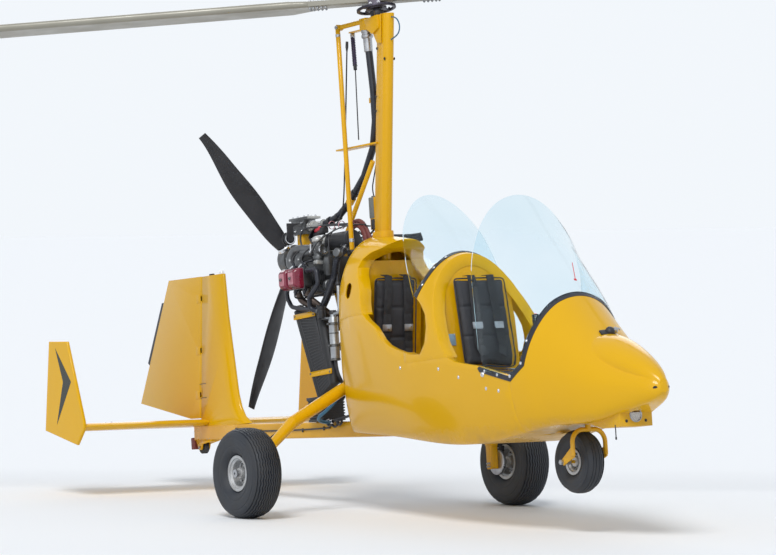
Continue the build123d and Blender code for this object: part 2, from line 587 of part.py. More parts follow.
# Hoses: radius, bend, route
HOSES = [
    (16, 50, [(-262, -90, 1334), (-264, -150, 1264), (-292, -152, 1178), (-385, -150, 1075), (-440, -150, 1022)]),
    (12, 26, [(-452, -214, 1226), (-342, -224, 1228), (-332, -224, 1150), (-424, -222, 1092), (-440, -214, 1036),
              (-372, -186, 1010)]),
    (11, 40, [(-612, -200, 1164), (-702, -192, 1146), (-650, -186, 1062), (-560, -184, 1044), (-396, -182, 1030)]),
    (12, 26, [(-452, 214, 1226), (-342, 224, 1228), (-332, 224, 1150), (-424, 222, 1092), (-440, 150, 1022)]),
]
hoses = join([pipe(route, r, bend) for r, bend, route in HOSES])
save("coolant_hoses", hoses - engine - radiators - straps - airbox - tank - fitting - exhaust - carburettors[0])

COOLER = (-740, -610, 482, 605)
cooler = block(COOLER[0], COOLER[1], -70, 70, COOLER[2], COOLER[3])
cooler -= join([block(COOLER[0] - 2, COOLER[1] + 2, side * 62, side * 72, z, z + 6) for side in SIDES
                for z in range(COOLER[2] + 12, COOLER[3] - 10, 14)])
save("oil_cooler", cooler - keel)

# Engine mount: tubes up from the keel, a plate behind the pod, and the brace down from the mast
MOUNT_Z = CRANK_Z - 78
mount = join([rod((-180, side * 90, 480), (-400, side * 74, MOUNT_Z), 14) for side in SIDES])
mount += rod((-400, -74, MOUNT_Z), (-400, 74, MOUNT_Z), 14) + block(-310, -236, -45, 45, 420, 645)
mount += rod((-110, 0, 1740), (-474, 0, 1300), 12) + block(-500, -440, -30, 30, 1270, 1320)
mount += block(-812, -756, -24, 24, 1350, 1440)
mount = mount - legs - engine - keel - column - bulkhead - exhaust - drive - intakes - airbox - gearbox
save("engine_mount", mount)

# Propeller: three blades on a turning hub
hub = disc((PROP_X, 0, PROP_Z), (1, 0, 0), 74, 62) + rod((-700, 0, PROP_Z), (PROP_X, 0, PROP_Z), SHAFT_R)
save("propeller_hub", hub)
PROP_STATIONS = [(50, 28, 22, 60), (140, 46, 14, 42), (330, 56, 9, 27), (600, 44, 6, 18), (PROP_R, 22, 3, 13)]
blade = loft([Pos(0, 0, r) * Rot(0, 0, 90 - pitch) * Ellipse(half, thick) for r, half, thick, pitch in PROP_STATIONS])
blades = None
for k in range(3):
    one = Pos(PROP_X, 0, PROP_Z) * Rot(38 + 120 * k, 0, 0) * blade
    blades = one if blades is None else blades + one
save("propeller_blades", blades - hub)

# Tail: plank with end plates, fin and hinged rudder
STAB_LE, STAB_TE, STAB_Z = -1765, -2165, 552
stab = side_solid([(STAB_LE, STAB_Z - 2), (STAB_LE, STAB_Z + 2), (STAB_LE - 20, STAB_Z + 12), (STAB_LE - 60, STAB_Z + 18),
                   (STAB_LE - 160, STAB_Z + 18), (STAB_TE, STAB_Z + 2), (STAB_TE, STAB_Z - 2),
                   (STAB_LE - 160, STAB_Z - 18), (STAB_LE - 60, STAB_Z - 18), (STAB_LE - 20, STAB_Z - 12)],
                  -TAIL_HALF, TAIL_HALF)
save("stabilizer", stab - keel)
PLATE = [(-2076, 1015), (-1890, 1000), (-1763, 573), (-1768, 535), (-1844, 460), (-2165, 555)]
PLATE_T = 18
plates = [fillet(side_solid(PLATE, y, y + PLATE_T).edges().filter_by(lambda e: abs(e.tangent_at(0.5).Y) < 0.1), 6)
          for y in (-TAIL_HALF - PLATE_T, TAIL_HALF)]
save("end_plates", plates[0] + plates[1])

HINGE_LOW, HINGE_HIGH = Vector(-1868, 0, 565), Vector(-1771, 0, 1314)
HINGE = (HINGE_HIGH - HINGE_LOW).normalized()
NOSE_GAP = 5.5


def hinge_x(z):
    """Station of the rudder's hinge line."""
    return HINGE_LOW.X + (z - HINGE_LOW.Z) * HINGE.X / HINGE.Z


def on_hinge(z, r, height):
    """Cylinder about the hinge line, its middle at a height."""
    return Plane(origin=(hinge_x(z), 0, z), x_dir=(0, 1, 0), z_dir=HINGE) * Cylinder(r, height)


# Fin sections: height, leading edge station
FIN = [(520, -1390), (560, -1452), (610, -1484), (680, -1506), (870, -1531), (1082, -1559), (1312, -1574)]
FIN_NOSE = 90


def fin_section(z, lead):
    nose = EllipticalCenterArc((lead - FIN_NOSE, 0), FIN_NOSE, FIN_T / 2, -90, arc_size=180)
    rear = hinge_x(z)
    rest = Polyline((lead - FIN_NOSE, FIN_T / 2), (rear, FIN_T / 2), (rear, -FIN_T / 2), (lead - FIN_NOSE, -FIN_T / 2))
    return Pos(0, 0, z) * make_face([nose, rest])


RUDDER_R = FIN_T / 2
fin = loft([fin_section(z, lead) for z, lead in FIN], ruled=True)
fin -= on_hinge(940, RUDDER_R + NOSE_GAP, 1000)
fin -= side_solid([(hinge_x(z) - d, z) for z, d in ((480, 60), (480, 15), (1400, 15), (1400, 60))], -80, 80)
LUGS = [(700, 26), (930, 26), (1200, 26)]
LUG_T, LUG_R, LUG_PIN_R = 14, 13, 5
slots = None
for z, height in LUGS:
    lug = side_solid([(hinge_x(z - LUG_T / 2), z - LUG_T / 2), (hinge_x(z - LUG_T / 2) + 46, z - LUG_T / 2),
                      (hinge_x(z + LUG_T / 2) + 46, z + LUG_T / 2), (hinge_x(z + LUG_T / 2), z + LUG_T / 2)],
                     -LUG_R + 3, LUG_R - 3)
    fin += lug + on_hinge(z, LUG_R, LUG_T)
    fin -= on_hinge(z, LUG_PIN_R + RUN, LUG_T + 20)
    slot = on_hinge(z, RUDDER_R + NOSE_GAP, height)
    slots = slot if slots is None else slots + slot
save("fin", fin - keel - stab)

RUDDER_LOW, RUDDER_HIGH = 578, 1313
RUDDER = [(hinge_x(RUDDER_LOW), RUDDER_LOW), (-1957, 580), (-2491, 697), (-2113, 1323), (hinge_x(1314), 1314)]
rudder = side_solid(RUDDER, -RUDDER_R, RUDDER_R)
TRAIL, TRAIL_T = 660, 10
wedge = make_face(Polyline((30, -RUDDER_R), (0, -RUDDER_R), (-TRAIL, -TRAIL_T / 2), (-TRAIL, TRAIL_T / 2), (0, RUDDER_R),
                           (30, RUDDER_R), close=True))
wedge_plane = Plane(origin=HINGE_LOW - HINGE * 200, x_dir=(HINGE.Z, 0, -HINGE.X), z_dir=HINGE)
rudder &= extrude(wedge_plane * wedge, amount=1300)
rudder += on_hinge(945, RUDDER_R, 900) & block(-2000, -1700, -60, 60, RUDDER_LOW, RUDDER_HIGH)
rudder -= slots
for z, height in LUGS:
    rudder += on_hinge(z, LUG_PIN_R, height + 12)
save("rudder", rudder)
TAB = [(-2180, 1212), (-2205, 1212), (-2385, 905), (-2368, 892)]
tab = side_solid([(x - 8, z) for x, z in TAB], -7, 7) - rudder
save("rudder_tab", tab)

TAIL_WHEEL = (-1880, 0, 424)
TAIL_WHEEL_R, TAIL_WHEEL_W, TAIL_PIN_R = 32, 26, 6
skid = side_solid([(-1925, 480), (-1905, 440), (-1893, 412), (-1867, 412), (-1855, 440), (-1760, 452), (-1760, 480)], -26, 26)
skid -= side_solid([(-1940, 380), (-1940, 461), (-1815, 461), (-1815, 380)], -19, 19)
skid += block(-1962, -1925, -28, 28, 420, 478) + rod((TAIL_WHEEL[0], -22, 424), (TAIL_WHEEL[0], 22, 424), TAIL_PIN_R)
save("tail_skid", skid - keel)
save("tail_wheel", disc(TAIL_WHEEL, (0, 1, 0), TAIL_WHEEL_R, TAIL_WHEEL_W, TAIL_PIN_R + RUN))

# Rotor head, in the tilted frame of the disc: z along the shaft, x along the span of the near blade
SHAFT = Vector(-sin(radians(DISC_TILT)), 0, cos(radians(DISC_TILT)))
HUB = Vector(0, 0, HUB_Z)
span = Vector(-cos(radians(BLADE_AZIMUTH)), -sin(radians(BLADE_AZIMUTH)), 0)
span = (span - SHAFT * span.dot(SHAFT)).normalized()
HEAD = Plane(origin=HUB, x_dir=span, z_dir=SHAFT)
FIXED = Plane(origin=HUB, x_dir=(cos(radians(DISC_TILT)), 0, sin(radians(DISC_TILT))), z_dir=SHAFT)
SPINDLE_R, PIN_R, PIN_Z = 15, 9, 24
RING_Z, RING_R = -42, 96
ring = Pos(0, 0, RING_Z) * (Cylinder(RING_R, 12) - Cylinder(RING_R - 12, 14) + Cylinder(52, 8))
for k in range(4):
    ring += Rot(0, 0, 45 + 90 * k) * Pos(68, 0, RING_Z) * Box(40, 12, 8)
ring += Pos(0, 0, -70) * Cylinder(SPINDLE_R - RUN, 54)
cheek = HUB_BAR_W / 2 + 6
tower = Pos(0, 0, -33) * Box(70, 2 * cheek + 24, 10)
for side in (-1, 1):
    tower += Pos(0, side * (cheek + 5), 3) * Box(60, 10, 82)
tower += Pos(0, 0, PIN_Z) * Rot(90, 0, 0) * Cylinder(PIN_R, 2 * cheek + 20)
save("rotor_spindle", HEAD * (ring + tower))
bar = Box(2 * HUB_BAR_L, HUB_BAR_W, HUB_BAR_T) + Pos(0, 0, 20) * Box(70, HUB_BAR_W, 44)
bar -= Pos(0, 0, PIN_Z) * Rot(90, 0, 0) * Cylinder(PIN_R + RUN, 400)
TEETER_TURN = Pos(0, 0, PIN_Z) * Rot(0, -TEETER, 0) * Pos(0, 0, -PIN_Z)
save("hub_bar", HEAD * TEETER_TURN * bar)


def blade_section(chord, thick):
    nose = ThreePointArc((chord * 0.1, thick * 0.5), (chord * 0.25, 0), (chord * 0.1, -thick * 0.4))
    rest = Polyline((chord * 0.1, -thick * 0.4), (-chord * 0.75, -1), (-chord * 0.75, 1), (chord * 0.1, thick * 0.5))
    return make_face([nose, rest])


BLADE_ROOT, BLADE_FULL = 225, 430
both = None
for turn in (0, 180):
    outboard = Plane(origin=(BLADE_FULL, 0, 0), x_dir=(0, 1, 0), z_dir=(1, 0, 0))
    root = Plane(origin=(BLADE_ROOT, 0, 0), x_dir=(0, 1, 0), z_dir=(1, 0, 0))
    wing = extrude(outboard * blade_section(BLADE_CHORD, BLADE_T), amount=ROTOR_R - BLADE_FULL)
    cuff = loft([root * blade_section(96, BLADE_T + 6), outboard * blade_section(BLADE_CHORD, BLADE_T)])
    one = Rot(0, 0, turn) * (wing + cuff)
    both = one if both is None else both + one
save("rotor_blades", HEAD * TEETER_TURN * (both - bar))
housing = Pos(0, 0, -80) * Cylinder(34, 50)
gimbal = Pos(4, 0, -122) * Box(92, 74, 40)
head = FIXED * (housing + gimbal - Pos(0, 0, -75) * Cylinder(SPINDLE_R, 70))
cheeks = side_solid([(-44, 2440), (70, 2450), (76, 2385), (20, 2360), (-30, 2390)], -44, 44) - block(-200, 200, -29, 29, 2300, 2500)
head += cheeks
save("rotor_head", head - column)
EYE = (-232, -70, 2424)
arm = block(-112, -56, -28, 28, 2392, 2452) + rod((-90, -8, 2440), EYE, 12) + disc(EYE, (0, 1, 0), 15, 30)
arm += block(-236, -90, -14, 14, 2396, 2403)
save("torque_tube", arm - head - column)
shaft_line = [(-90, 0, 2392), (-84, 0, 2290), (-66, 0, 2090), (-80, 10, 1940), (-140, 26, 1810), (-250, 36, 1680),
              (-400, 34, 1560), (-480, 16, 1500), (-580, 0, 1474)]
prerotator = pipe(shaft_line, 18, 60)
save("prerotator_shaft", prerotator - arm - drive - mount)
pushrod = rod((EYE[0], EYE[1] - 10, EYE[2] - 8), (-176, -112, 1306), 12)
spring = rod((-222, 0, 2396), (-186, -20, 2207), 9) + rod((-186, -20, 2207), (-150, -50, 1852), 3)
save("control_rods", (pushrod - arm - rear_arch - boot - bulkhead) + (spring - arm - prerotator))
bars = block(-391, -20, -32, 32, 1820, 1828) + side_solid([(-150, 2035), (20, 2050), (10, 2090), (-150, 2060)], 26, 31)
bars = bars - column - prerotator - spring - pushrod
bars += block(mast_x(1480) - 90, mast_x(1480) - 50, -20, 20, 1400, 1560) - column
save("mast_brackets", bars)
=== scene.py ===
# Two-seat gyrocopter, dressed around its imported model. Metres: +X is the nose, +Y port, +Z up.
import math

import bmesh
import bpy
from mathutils import Matrix, Vector
from mathutils.bvhtree import BVHTree


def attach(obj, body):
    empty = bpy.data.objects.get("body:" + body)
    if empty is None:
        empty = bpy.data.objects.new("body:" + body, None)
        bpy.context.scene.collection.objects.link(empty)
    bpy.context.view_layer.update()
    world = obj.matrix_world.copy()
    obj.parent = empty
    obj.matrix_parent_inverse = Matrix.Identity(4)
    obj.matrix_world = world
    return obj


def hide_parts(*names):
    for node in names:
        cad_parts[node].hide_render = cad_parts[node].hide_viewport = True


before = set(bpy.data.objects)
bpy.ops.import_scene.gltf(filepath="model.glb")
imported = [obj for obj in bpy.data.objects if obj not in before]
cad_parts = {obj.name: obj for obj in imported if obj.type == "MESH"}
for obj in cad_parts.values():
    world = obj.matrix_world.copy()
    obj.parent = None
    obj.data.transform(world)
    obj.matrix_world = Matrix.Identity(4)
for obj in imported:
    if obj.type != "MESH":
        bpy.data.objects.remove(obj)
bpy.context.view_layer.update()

# Floor: pale painted floor under the main tyres. The craft sits nose-up on them, so the floor is
# tilted in the craft's own frame. To the camera, to metal and to glass it shows one plain tone.
FLOOR_TILT = math.radians(6.5018)
FLOOR_PIVOT = Vector((-0.19, 0.0, 0.0))
floor_mesh = bpy.data.meshes.new("floor")
bm = bmesh.new()
bmesh.ops.create_grid(bm, x_segments=1, y_segments=1, size=60)
lie = Matrix.Translation(FLOOR_PIVOT) @ Matrix.Rotation(FLOOR_TILT, 4, "Y")
bmesh.ops.transform(bm, matrix=lie, verts=bm.verts)
bm.to_mesh(floor_mesh)
bm.free()
floor = bpy.data.objects.new("floor", floor_mesh)
bpy.context.scene.collection.objects.link(floor)
floor_paint = bpy.data.materials.new("floor_paint")
floor_paint.use_nodes = True
floor_bsdf = floor_paint.node_tree.nodes["Principled BSDF"]
floor_bsdf.inputs["Base Color"].default_value = (0.87, 0.88, 0.89, 1.0)
floor_bsdf.inputs["Roughness"].default_value = 0.95
floor_bsdf.inputs["Specular IOR Level"].default_value = 0.1
floor_mesh.materials.append(floor_paint)

# Studio light: a pale room all round and three wide soft suns. Camera, metal and glass see the room as
# nearly white; the light that it gives is lower.
world = bpy.data.worlds.new("studio")
bpy.context.scene.world = world
world.use_nodes = True
room, wire = world.node_tree.nodes, world.node_tree.links
glow = room["Background"]
glow.inputs["Color"].default_value = (0.86, 0.92, 1.0, 1.0)
glow.inputs["Strength"].default_value = 0.55
seen = room.new("ShaderNodeBackground")
seen.inputs["Color"].default_value = (0.892, 0.930, 0.972, 1.0)
rays = room.new("ShaderNodeLightPath")
either = [room.new("ShaderNodeMath") for _ in range(2)]
for node in either:
    node.operation = "MAXIMUM"
wire.new(rays.outputs["Is Camera Ray"], either[0].inputs[0])
wire.new(rays.outputs["Is Glossy Ray"], either[0].inputs[1])
wire.new(either[0].outputs[0], either[1].inputs[0])
wire.new(rays.outputs["Is Transmission Ray"], either[1].inputs[1])
choose = room.new("ShaderNodeMixShader")
wire.new(either[1].outputs[0], choose.inputs["Fac"])
wire.new(glow.outputs[0], choose.inputs[1])
wire.new(seen.outputs[0], choose.inputs[2])
wire.new(choose.outputs[0], room["World Output"].inputs["Surface"])
# Lamp name, where it shines from, strength, how wide it looks in the sky
for name, place, strength, spread in (
    ("key", (6.0, -5.5, 8.0), 1.75, 0.35),
    ("fill", (9.0, -11.0, 3.0), 0.35, 0.9),
    ("back", (-8.0, 5.0, 6.5), 0.5, 0.7),
):
    data = bpy.data.lights.new(name, "SUN")
    data.energy = strength
    data.angle = spread
    lamp = bpy.data.objects.new(name, data)
    lamp.rotation_mode = "QUATERNION"
    lamp.rotation_quaternion = (-Vector(place)).to_track_quat("-Z", "Y")
    bpy.context.scene.collection.objects.link(lamp)

# Camera: a long lens ahead of the starboard side, low down, as the craft passes nose-up.
camera_data = bpy.data.cameras.new("camera")
camera_data.lens = 234.06
camera_data.sensor_width = 36.0
camera_data.clip_start, camera_data.clip_end = 0.5, 200.0
camera = bpy.data.objects.new("camera", camera_data)
across, upward = Vector((0.548387, 0.833886, -0.062498)), Vector((0.089798, 0.015583, 0.995838))
turn = Matrix((across, upward, across.cross(upward))).transposed()
camera.matrix_world = Matrix.Translation((20.7328, -13.7847, -0.5041)) @ turn.to_4x4()
bpy.context.scene.collection.objects.link(camera)
bpy.context.scene.camera = camera
bpy.context.scene.view_settings.view_transform = "Standard"

# Keel tube: a long square steel tube under the pod and out to the tail, sprayed yellow and dusty below.
# Its finish brings in the two surface effects that the other paints share: patina and road dust.
COLOR, FLOAT = "NodeSocketColor", "NodeSocketFloat"


def effect(name, inputs, outputs):
    """Empty shader group with named sockets: the tree, what comes in and what goes out."""
    tree = bpy.data.node_groups.new(name, "ShaderNodeTree")
    for label, kind, value in inputs:
        tree.interface.new_socket(name=label, in_out="INPUT", socket_type=kind).default_value = value
    for label, kind in outputs:
        tree.interface.new_socket(name=label, in_out="OUTPUT", socket_type=kind)
    return tree, tree.nodes.new("NodeGroupInput").outputs, tree.nodes.new("NodeGroupOutput").inputs


def feed(tree, socket, value):
    """Joins a socket to another, or sets it to a number."""
    if isinstance(value, bpy.types.NodeSocket):
        tree.links.new(value, socket)
    else:
        socket.default_value = value


def blend_colors(tree, share, first, second):
    """Two colours mixed by a share of the second."""
    node = tree.nodes.new("ShaderNodeMix")
    node.data_type = "RGBA"
    for k, value in ((0, share), (6, first), (7, second)):
        feed(tree, node.inputs[k], value)
    return node.outputs[2]


def rescale(tree, value, low, high, to_low=0.0, to_high=1.0):
    """A value's range brought to another range."""
    node = tree.nodes.new("ShaderNodeMapRange")
    for k, number in enumerate((value, low, high, to_low, to_high)):
        feed(tree, node.inputs[k], number)
    return node.outputs[0]


def times(tree, first, second):
    """Product of two values."""
    node = tree.nodes.new("ShaderNodeMath")
    node.operation = "MULTIPLY"
    feed(tree, node.inputs[0], first)
    feed(tree, node.inputs[1], second)
    return node.outputs[0]


def cloudy(tree, where, scale, detail=4.0, rough=0.55):
    """Soft noise."""
    node = tree.nodes.new("ShaderNodeTexNoise")
    for label, value in (("Vector", where), ("Scale", scale), ("Detail", detail), ("Roughness", rough)):
        feed(tree, node.inputs[label], value)
    return node.outputs["Fac"]


def own_place(tree):
    """Place on the piece itself, so that a finish moves with it."""
    return tree.nodes.new("ShaderNodeTexCoord").outputs["Object"]


patina, come, go = effect(
    "patina",
    [("Base", COLOR, (1, 1, 1, 1)), ("Shade", COLOR, (0.5, 0.5, 0.5, 1)), ("Scale", FLOAT, 3.0),
     ("Amount", FLOAT, 0.4), ("Grain", FLOAT, 160.0), ("Gloss", FLOAT, 0.25), ("Dull", FLOAT, 0.45)],
    [("Color", COLOR), ("Roughness", FLOAT), ("Height", FLOAT)])
broad = rescale(patina, cloudy(patina, own_place(patina), come["Scale"]), 0.35, 0.72)
feed(patina, go["Color"], blend_colors(patina, times(patina, broad, come["Amount"]), come["Base"],
                                       come["Shade"]))
feed(patina, go["Roughness"], rescale(patina, broad, 0.0, 1.0, come["Gloss"], come["Dull"]))
feed(patina, go["Height"], cloudy(patina, own_place(patina), come["Grain"], 2.0))

road_dust, come, go = effect(
    "road_dust",
    [("Color", COLOR, (1, 1, 1, 1)), ("Roughness", FLOAT, 0.3), ("Dust", COLOR, (0.3, 0.2, 0.12, 1)),
     ("Low", FLOAT, 0.1), ("High", FLOAT, 0.6), ("Amount", FLOAT, 0.5)],
    [("Color", COLOR), ("Roughness", FLOAT)])
split = road_dust.nodes.new("ShaderNodeSeparateXYZ")
feed(road_dust, split.inputs[0], own_place(road_dust))
depth = rescale(road_dust, split.outputs["Z"], come["High"], come["Low"])
spread = rescale(road_dust, cloudy(road_dust, own_place(road_dust), 6.0, 8.0, 0.7), 0.4, 0.62)
cover = times(road_dust, times(road_dust, depth, spread), come["Amount"])
feed(road_dust, go["Color"], blend_colors(road_dust, cover, come["Color"], come["Dust"]))
feed(road_dust, go["Roughness"], rescale(road_dust, cover, 0.0, 1.0, come["Roughness"], 0.9))


def group_in(material, tree, **values):
    """Places a shader group in a material and sets its sockets."""
    node = material.node_tree.nodes.new("ShaderNodeGroup")
    node.node_tree = tree
    for label, value in values.items():
        feed(material.node_tree, node.inputs[label], value)
    return node.outputs


def coating(name, base, shade, scale=3.0, amount=0.4, grain=160.0, gloss=0.25, dull=0.45, bump=0.02,
            metallic=0.0, coat=0.0, dust=None, relief=0.002, shine=0.5):
    """Material on the patina effect; dust is its lowest height, its highest height and its amount."""
    material = bpy.data.materials.new(name)
    material.use_nodes = True
    tree = material.node_tree
    surface = tree.nodes["Principled BSDF"]
    surface.inputs["Metallic"].default_value = metallic
    surface.inputs["Coat Weight"].default_value = coat
    surface.inputs["Specular IOR Level"].default_value = shine
    surface.inputs["Coat Roughness"].default_value = 0.05
    look = group_in(material, patina, Base=(*base, 1), Shade=(*shade, 1), Scale=scale, Amount=amount,
                    Grain=grain, Gloss=gloss, Dull=dull)
    color, rough = look["Color"], look["Roughness"]
    if dust:
        dusty = group_in(material, road_dust, Color=color, Roughness=rough, Low=dust[0], High=dust[1],
                         Amount=dust[2])
        color, rough = dusty["Color"], dusty["Roughness"]
    feed(tree, surface.inputs["Base Color"], color)
    feed(tree, surface.inputs["Roughness"], rough)
    node = tree.nodes.new("ShaderNodeBump")
    node.inputs["Strength"].default_value = bump
    node.inputs["Distance"].default_value = relief
    feed(tree, node.inputs["Height"], look["Height"])
    feed(tree, surface.inputs["Normal"], node.outputs[0])
    return material


def rounded(piece, width):
    """Small bevel on a piece's hard edges."""
    bevel = piece.modifiers.new("bevel", "BEVEL")
    bevel.width = width
    bevel.segments = 2
    bevel.limit_method = "ANGLE"
    bevel.angle_limit = math.radians(32)
    bevel.harden_normals = True


def dress(material, *nodes, edge=0.0012):
    """Gives CAD nodes a finish, and rounds their hard edges."""
    for name in nodes:
        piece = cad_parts[name]
        piece.data.materials.clear()
        piece.data.materials.append(material)
        for polygon in piece.data.polygons:
            polygon.use_smooth = True
        weld = piece.modifiers.new("weld", "WELD")
        weld.merge_threshold = 0.00002
        if edge:
            rounded(piece, edge)
        else:
            split = piece.modifiers.new("split", "EDGE_SPLIT")
            split.split_angle = math.radians(30)


tube_yellow = coating("tube_yellow", (0.76, 0.39, 0.005), (0.62, 0.30, 0.005), 5.0, 0.5, 220.0, 0.24, 0.42,
                      0.015, coat=0.15, dust=(0.1, 0.5, 0.5), shine=0.25)
dress(tube_yellow, "keel_tube")

# Pod skin: glass-fibre mouldings in yellow gelcoat, polished above and spattered with mud along the belly.
# Nose cowl, hoop, rear arch and tub are bolted together; the blister over the pedals is part of the cowl.
gelcoat = coating("gelcoat", (0.72, 0.395, 0.002), (0.64, 0.345, 0.002), 1.3, 0.35, 300.0, 0.16, 0.28, 0.004,
                  coat=0.2, dust=(0.25, 0.37, 0.5), shine=0.2)
dress(gelcoat, "nose_cowl", "mid_hoop", "rear_arch", "pod_tub", "rear_bulkhead")


def fit(name, mesh, material, body="airframe", edge=0.0, flip=True):
    """Makes a piece from a bmesh: faces outwards, smooth but for its hard edges, riding on a body."""
    if flip:
        bmesh.ops.recalc_face_normals(mesh, faces=mesh.faces)
    data = bpy.data.meshes.new(name)
    mesh.to_mesh(data)
    mesh.free()
    data.polygons.foreach_set("use_smooth", [True] * len(data.polygons))
    data.set_sharp_from_angle(angle=math.radians(38))
    data.materials.append(material)
    piece = bpy.data.objects.new(name, data)
    bpy.context.scene.collection.objects.link(piece)
    if edge:
        rounded(piece, edge)
    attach(piece, body)
    return piece


def facing(place, out, about=(0, 0, 1)):
    """Matrix at a place with its own z outwards and its x as near as can be to a given direction."""
    z = Vector(out).normalized()
    y = z.cross(Vector(about))
    if y.length < 0.01:
        y = z.cross(Vector((1, 0, 0)))
    y.normalize()
    return Matrix.Translation(place) @ Matrix((y.cross(z), y, z)).transposed().to_4x4()


def turned(mesh, outline, matrix, steps=24):
    """Round body: (radius, height) points spun about the matrix's z."""
    points = [mesh.verts.new((r, 0, z)) for r, z in outline]
    edges = [mesh.edges.new(pair) for pair in zip(points, points[1:])]
    made = bmesh.ops.spin(mesh, geom=points + edges, cent=(0, 0, 0), axis=(0, 0, 1), dvec=(0, 0, 0),
                          angle=math.tau, steps=steps, use_merge=True, use_duplicate=False)
    ends = [e for e in made["geom_last"] if isinstance(e, bmesh.types.BMEdge)]
    whole = linked(points + [v for e in ends for v in e.verts])
    bmesh.ops.remove_doubles(mesh, verts=whole, dist=1e-6)
    whole = linked([v for v in points if v.is_valid])
    bmesh.ops.transform(mesh, matrix=matrix, verts=whole)


def linked(verts):
    """All vertices joined to some."""
    found, ahead = set(verts), list(verts)
    while ahead:
        for edge in ahead.pop().link_edges:
            for v in edge.verts:
                if v not in found:
                    found.add(v)
                    ahead.append(v)
    return list(found)


def band(mesh, place, out, inner, outer, half, steps=24):
    """Flat ring round a tube or a hose, such as a clip."""
    turned(mesh, [(inner, -half), (outer, -half), (outer, half), (inner, half)], facing(place, out), steps)


def soften(mesh, verts, width, segments=2):
    """Rounds every edge at some vertices, and gives the vertices of the whole body."""
    sides = list({e for v in verts for e in v.link_edges})
    return linked(bmesh.ops.bevel(mesh, geom=sides, offset=width, segments=segments, affect="EDGES",
                                  profile=0.5, material=-1)["verts"])


def slab(mesh, size, matrix, edge=0.0, taper=1.0):
    """Box of a size about the matrix's origin; its top may be smaller, its edges rounded."""
    made = bmesh.ops.create_cube(mesh, size=1.0)["verts"]
    bmesh.ops.scale(mesh, vec=size, verts=made)
    for v in made:
        if v.co.z > 0:
            v.co.x *= taper
            v.co.y *= taper
    if edge:
        made = soften(mesh, made, edge)
    bmesh.ops.transform(mesh, matrix=matrix, verts=made)


def cut_sheet(mesh, outline, thick, matrix, edge=0.0):
    """Flat plate: an outline in the matrix's own plane, drawn out along its z."""
    face = mesh.faces.new([mesh.verts.new((x, y, 0)) for x, y in outline])
    grown = bmesh.ops.extrude_face_region(mesh, geom=[face])["geom"]
    top = [v for v in grown if isinstance(v, bmesh.types.BMVert)]
    bmesh.ops.translate(mesh, vec=(0, 0, thick), verts=top)
    whole = linked(top)
    if edge:
        whole = soften(mesh, whole, edge)
    bmesh.ops.transform(mesh, matrix=matrix, verts=whole)


def tubing(mesh, points, radius, sides=8):
    """Round tube along a smooth line through a route."""
    curve = bpy.data.curves.new("route", "CURVE")
    curve.dimensions = "3D"
    line = curve.splines.new("NURBS")
    line.points.add(len(points) - 1)
    for point, place in zip(line.points, points):
        point.co = (*place, 1)
    line.order_u = min(3, len(points))
    line.use_endpoint_u = True
    curve.resolution_u = 5
    curve.bevel_depth = radius
    curve.bevel_resolution = max(0, sides // 4 - 1)
    curve.use_fill_caps = True
    holder = bpy.data.objects.new("route", curve)
    bpy.context.scene.collection.objects.link(holder)
    bpy.context.view_layer.update()
    made = bpy.data.meshes.new_from_object(holder.evaluated_get(bpy.context.evaluated_depsgraph_get()))
    mesh.from_mesh(made)
    bpy.data.objects.remove(holder)
    bpy.data.meshes.remove(made)
    bpy.data.curves.remove(curve)


def screw(mesh, place, out, radius=0.006, height=0.003, washer=True, sides=12):
    """Button head screw on its washer."""
    foot = [(radius * 1.5, 0), (radius * 1.5, height * 0.35), (radius, height * 0.4)]
    outline = foot if washer else [(radius, 0)]
    outline += [(radius * 0.97, height * 0.8), (radius * 0.7, height * 1.3), (radius * 0.35, height * 1.45),
                (radius * 0.3, height), (0.0, height)]
    turned(mesh, outline, facing(place, out), sides)


def hex_nut(mesh, place, out, across_flats=0.013, height=0.008, stud=0.004):
    """Hexagon nut with the end of its stud."""
    made = bmesh.ops.create_cone(mesh, cap_ends=True, segments=6, radius1=across_flats * 0.577,
                                 radius2=across_flats * 0.55, depth=height)["verts"]
    matrix = facing(place, out)
    bmesh.ops.transform(mesh, matrix=matrix @ Matrix.Translation((0, 0, height / 2)), verts=made)
    turned(mesh, [(across_flats * 0.3, height), (across_flats * 0.3, height + stud * 0.8),
                  (across_flats * 0.22, height + stud), (0, height + stud)], matrix, 10)


skins = {}


def skin(node):
    """Search tree over a CAD node's faces."""
    if node not in skins:
        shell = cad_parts[node].data
        skins[node] = BVHTree.FromPolygons([v.co for v in shell.vertices],
                                           [f.vertices for f in shell.polygons])
    return skins[node]


def on_skin(node, x, z, side=-1):
    """Where a line across the craft first meets a CAD node, and the way that its skin faces there."""
    spot, out, *_ = skin(node).ray_cast(Vector((x, side * 2.0, z)), Vector((0, -side, 0)))
    return spot, out and out * math.copysign(1, out.y * side)


def tint(node, material, chosen):
    """A second finish for some of a CAD node's faces."""
    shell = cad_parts[node].data
    shell.materials.append(material)
    for face in shell.polygons:
        if chosen(face):
            face.material_index = len(shell.materials) - 1


bare_metal = coating("bare_metal", (0.46, 0.47, 0.49), (0.24, 0.24, 0.26), 22.0, 0.6, 340.0, 0.26, 0.5, 0.06,
                     metallic=0.9)
bright_screw = coating("bright_screw", (0.70, 0.71, 0.73), (0.50, 0.50, 0.52), 60.0, 0.4, 500.0, 0.15, 0.3,
                       0.02, metallic=1.0)
satin_black = coating("satin_black", (0.014, 0.014, 0.017), (0.04, 0.04, 0.045), 12.0, 0.5, 320.0, 0.35, 0.6,
                      0.06)

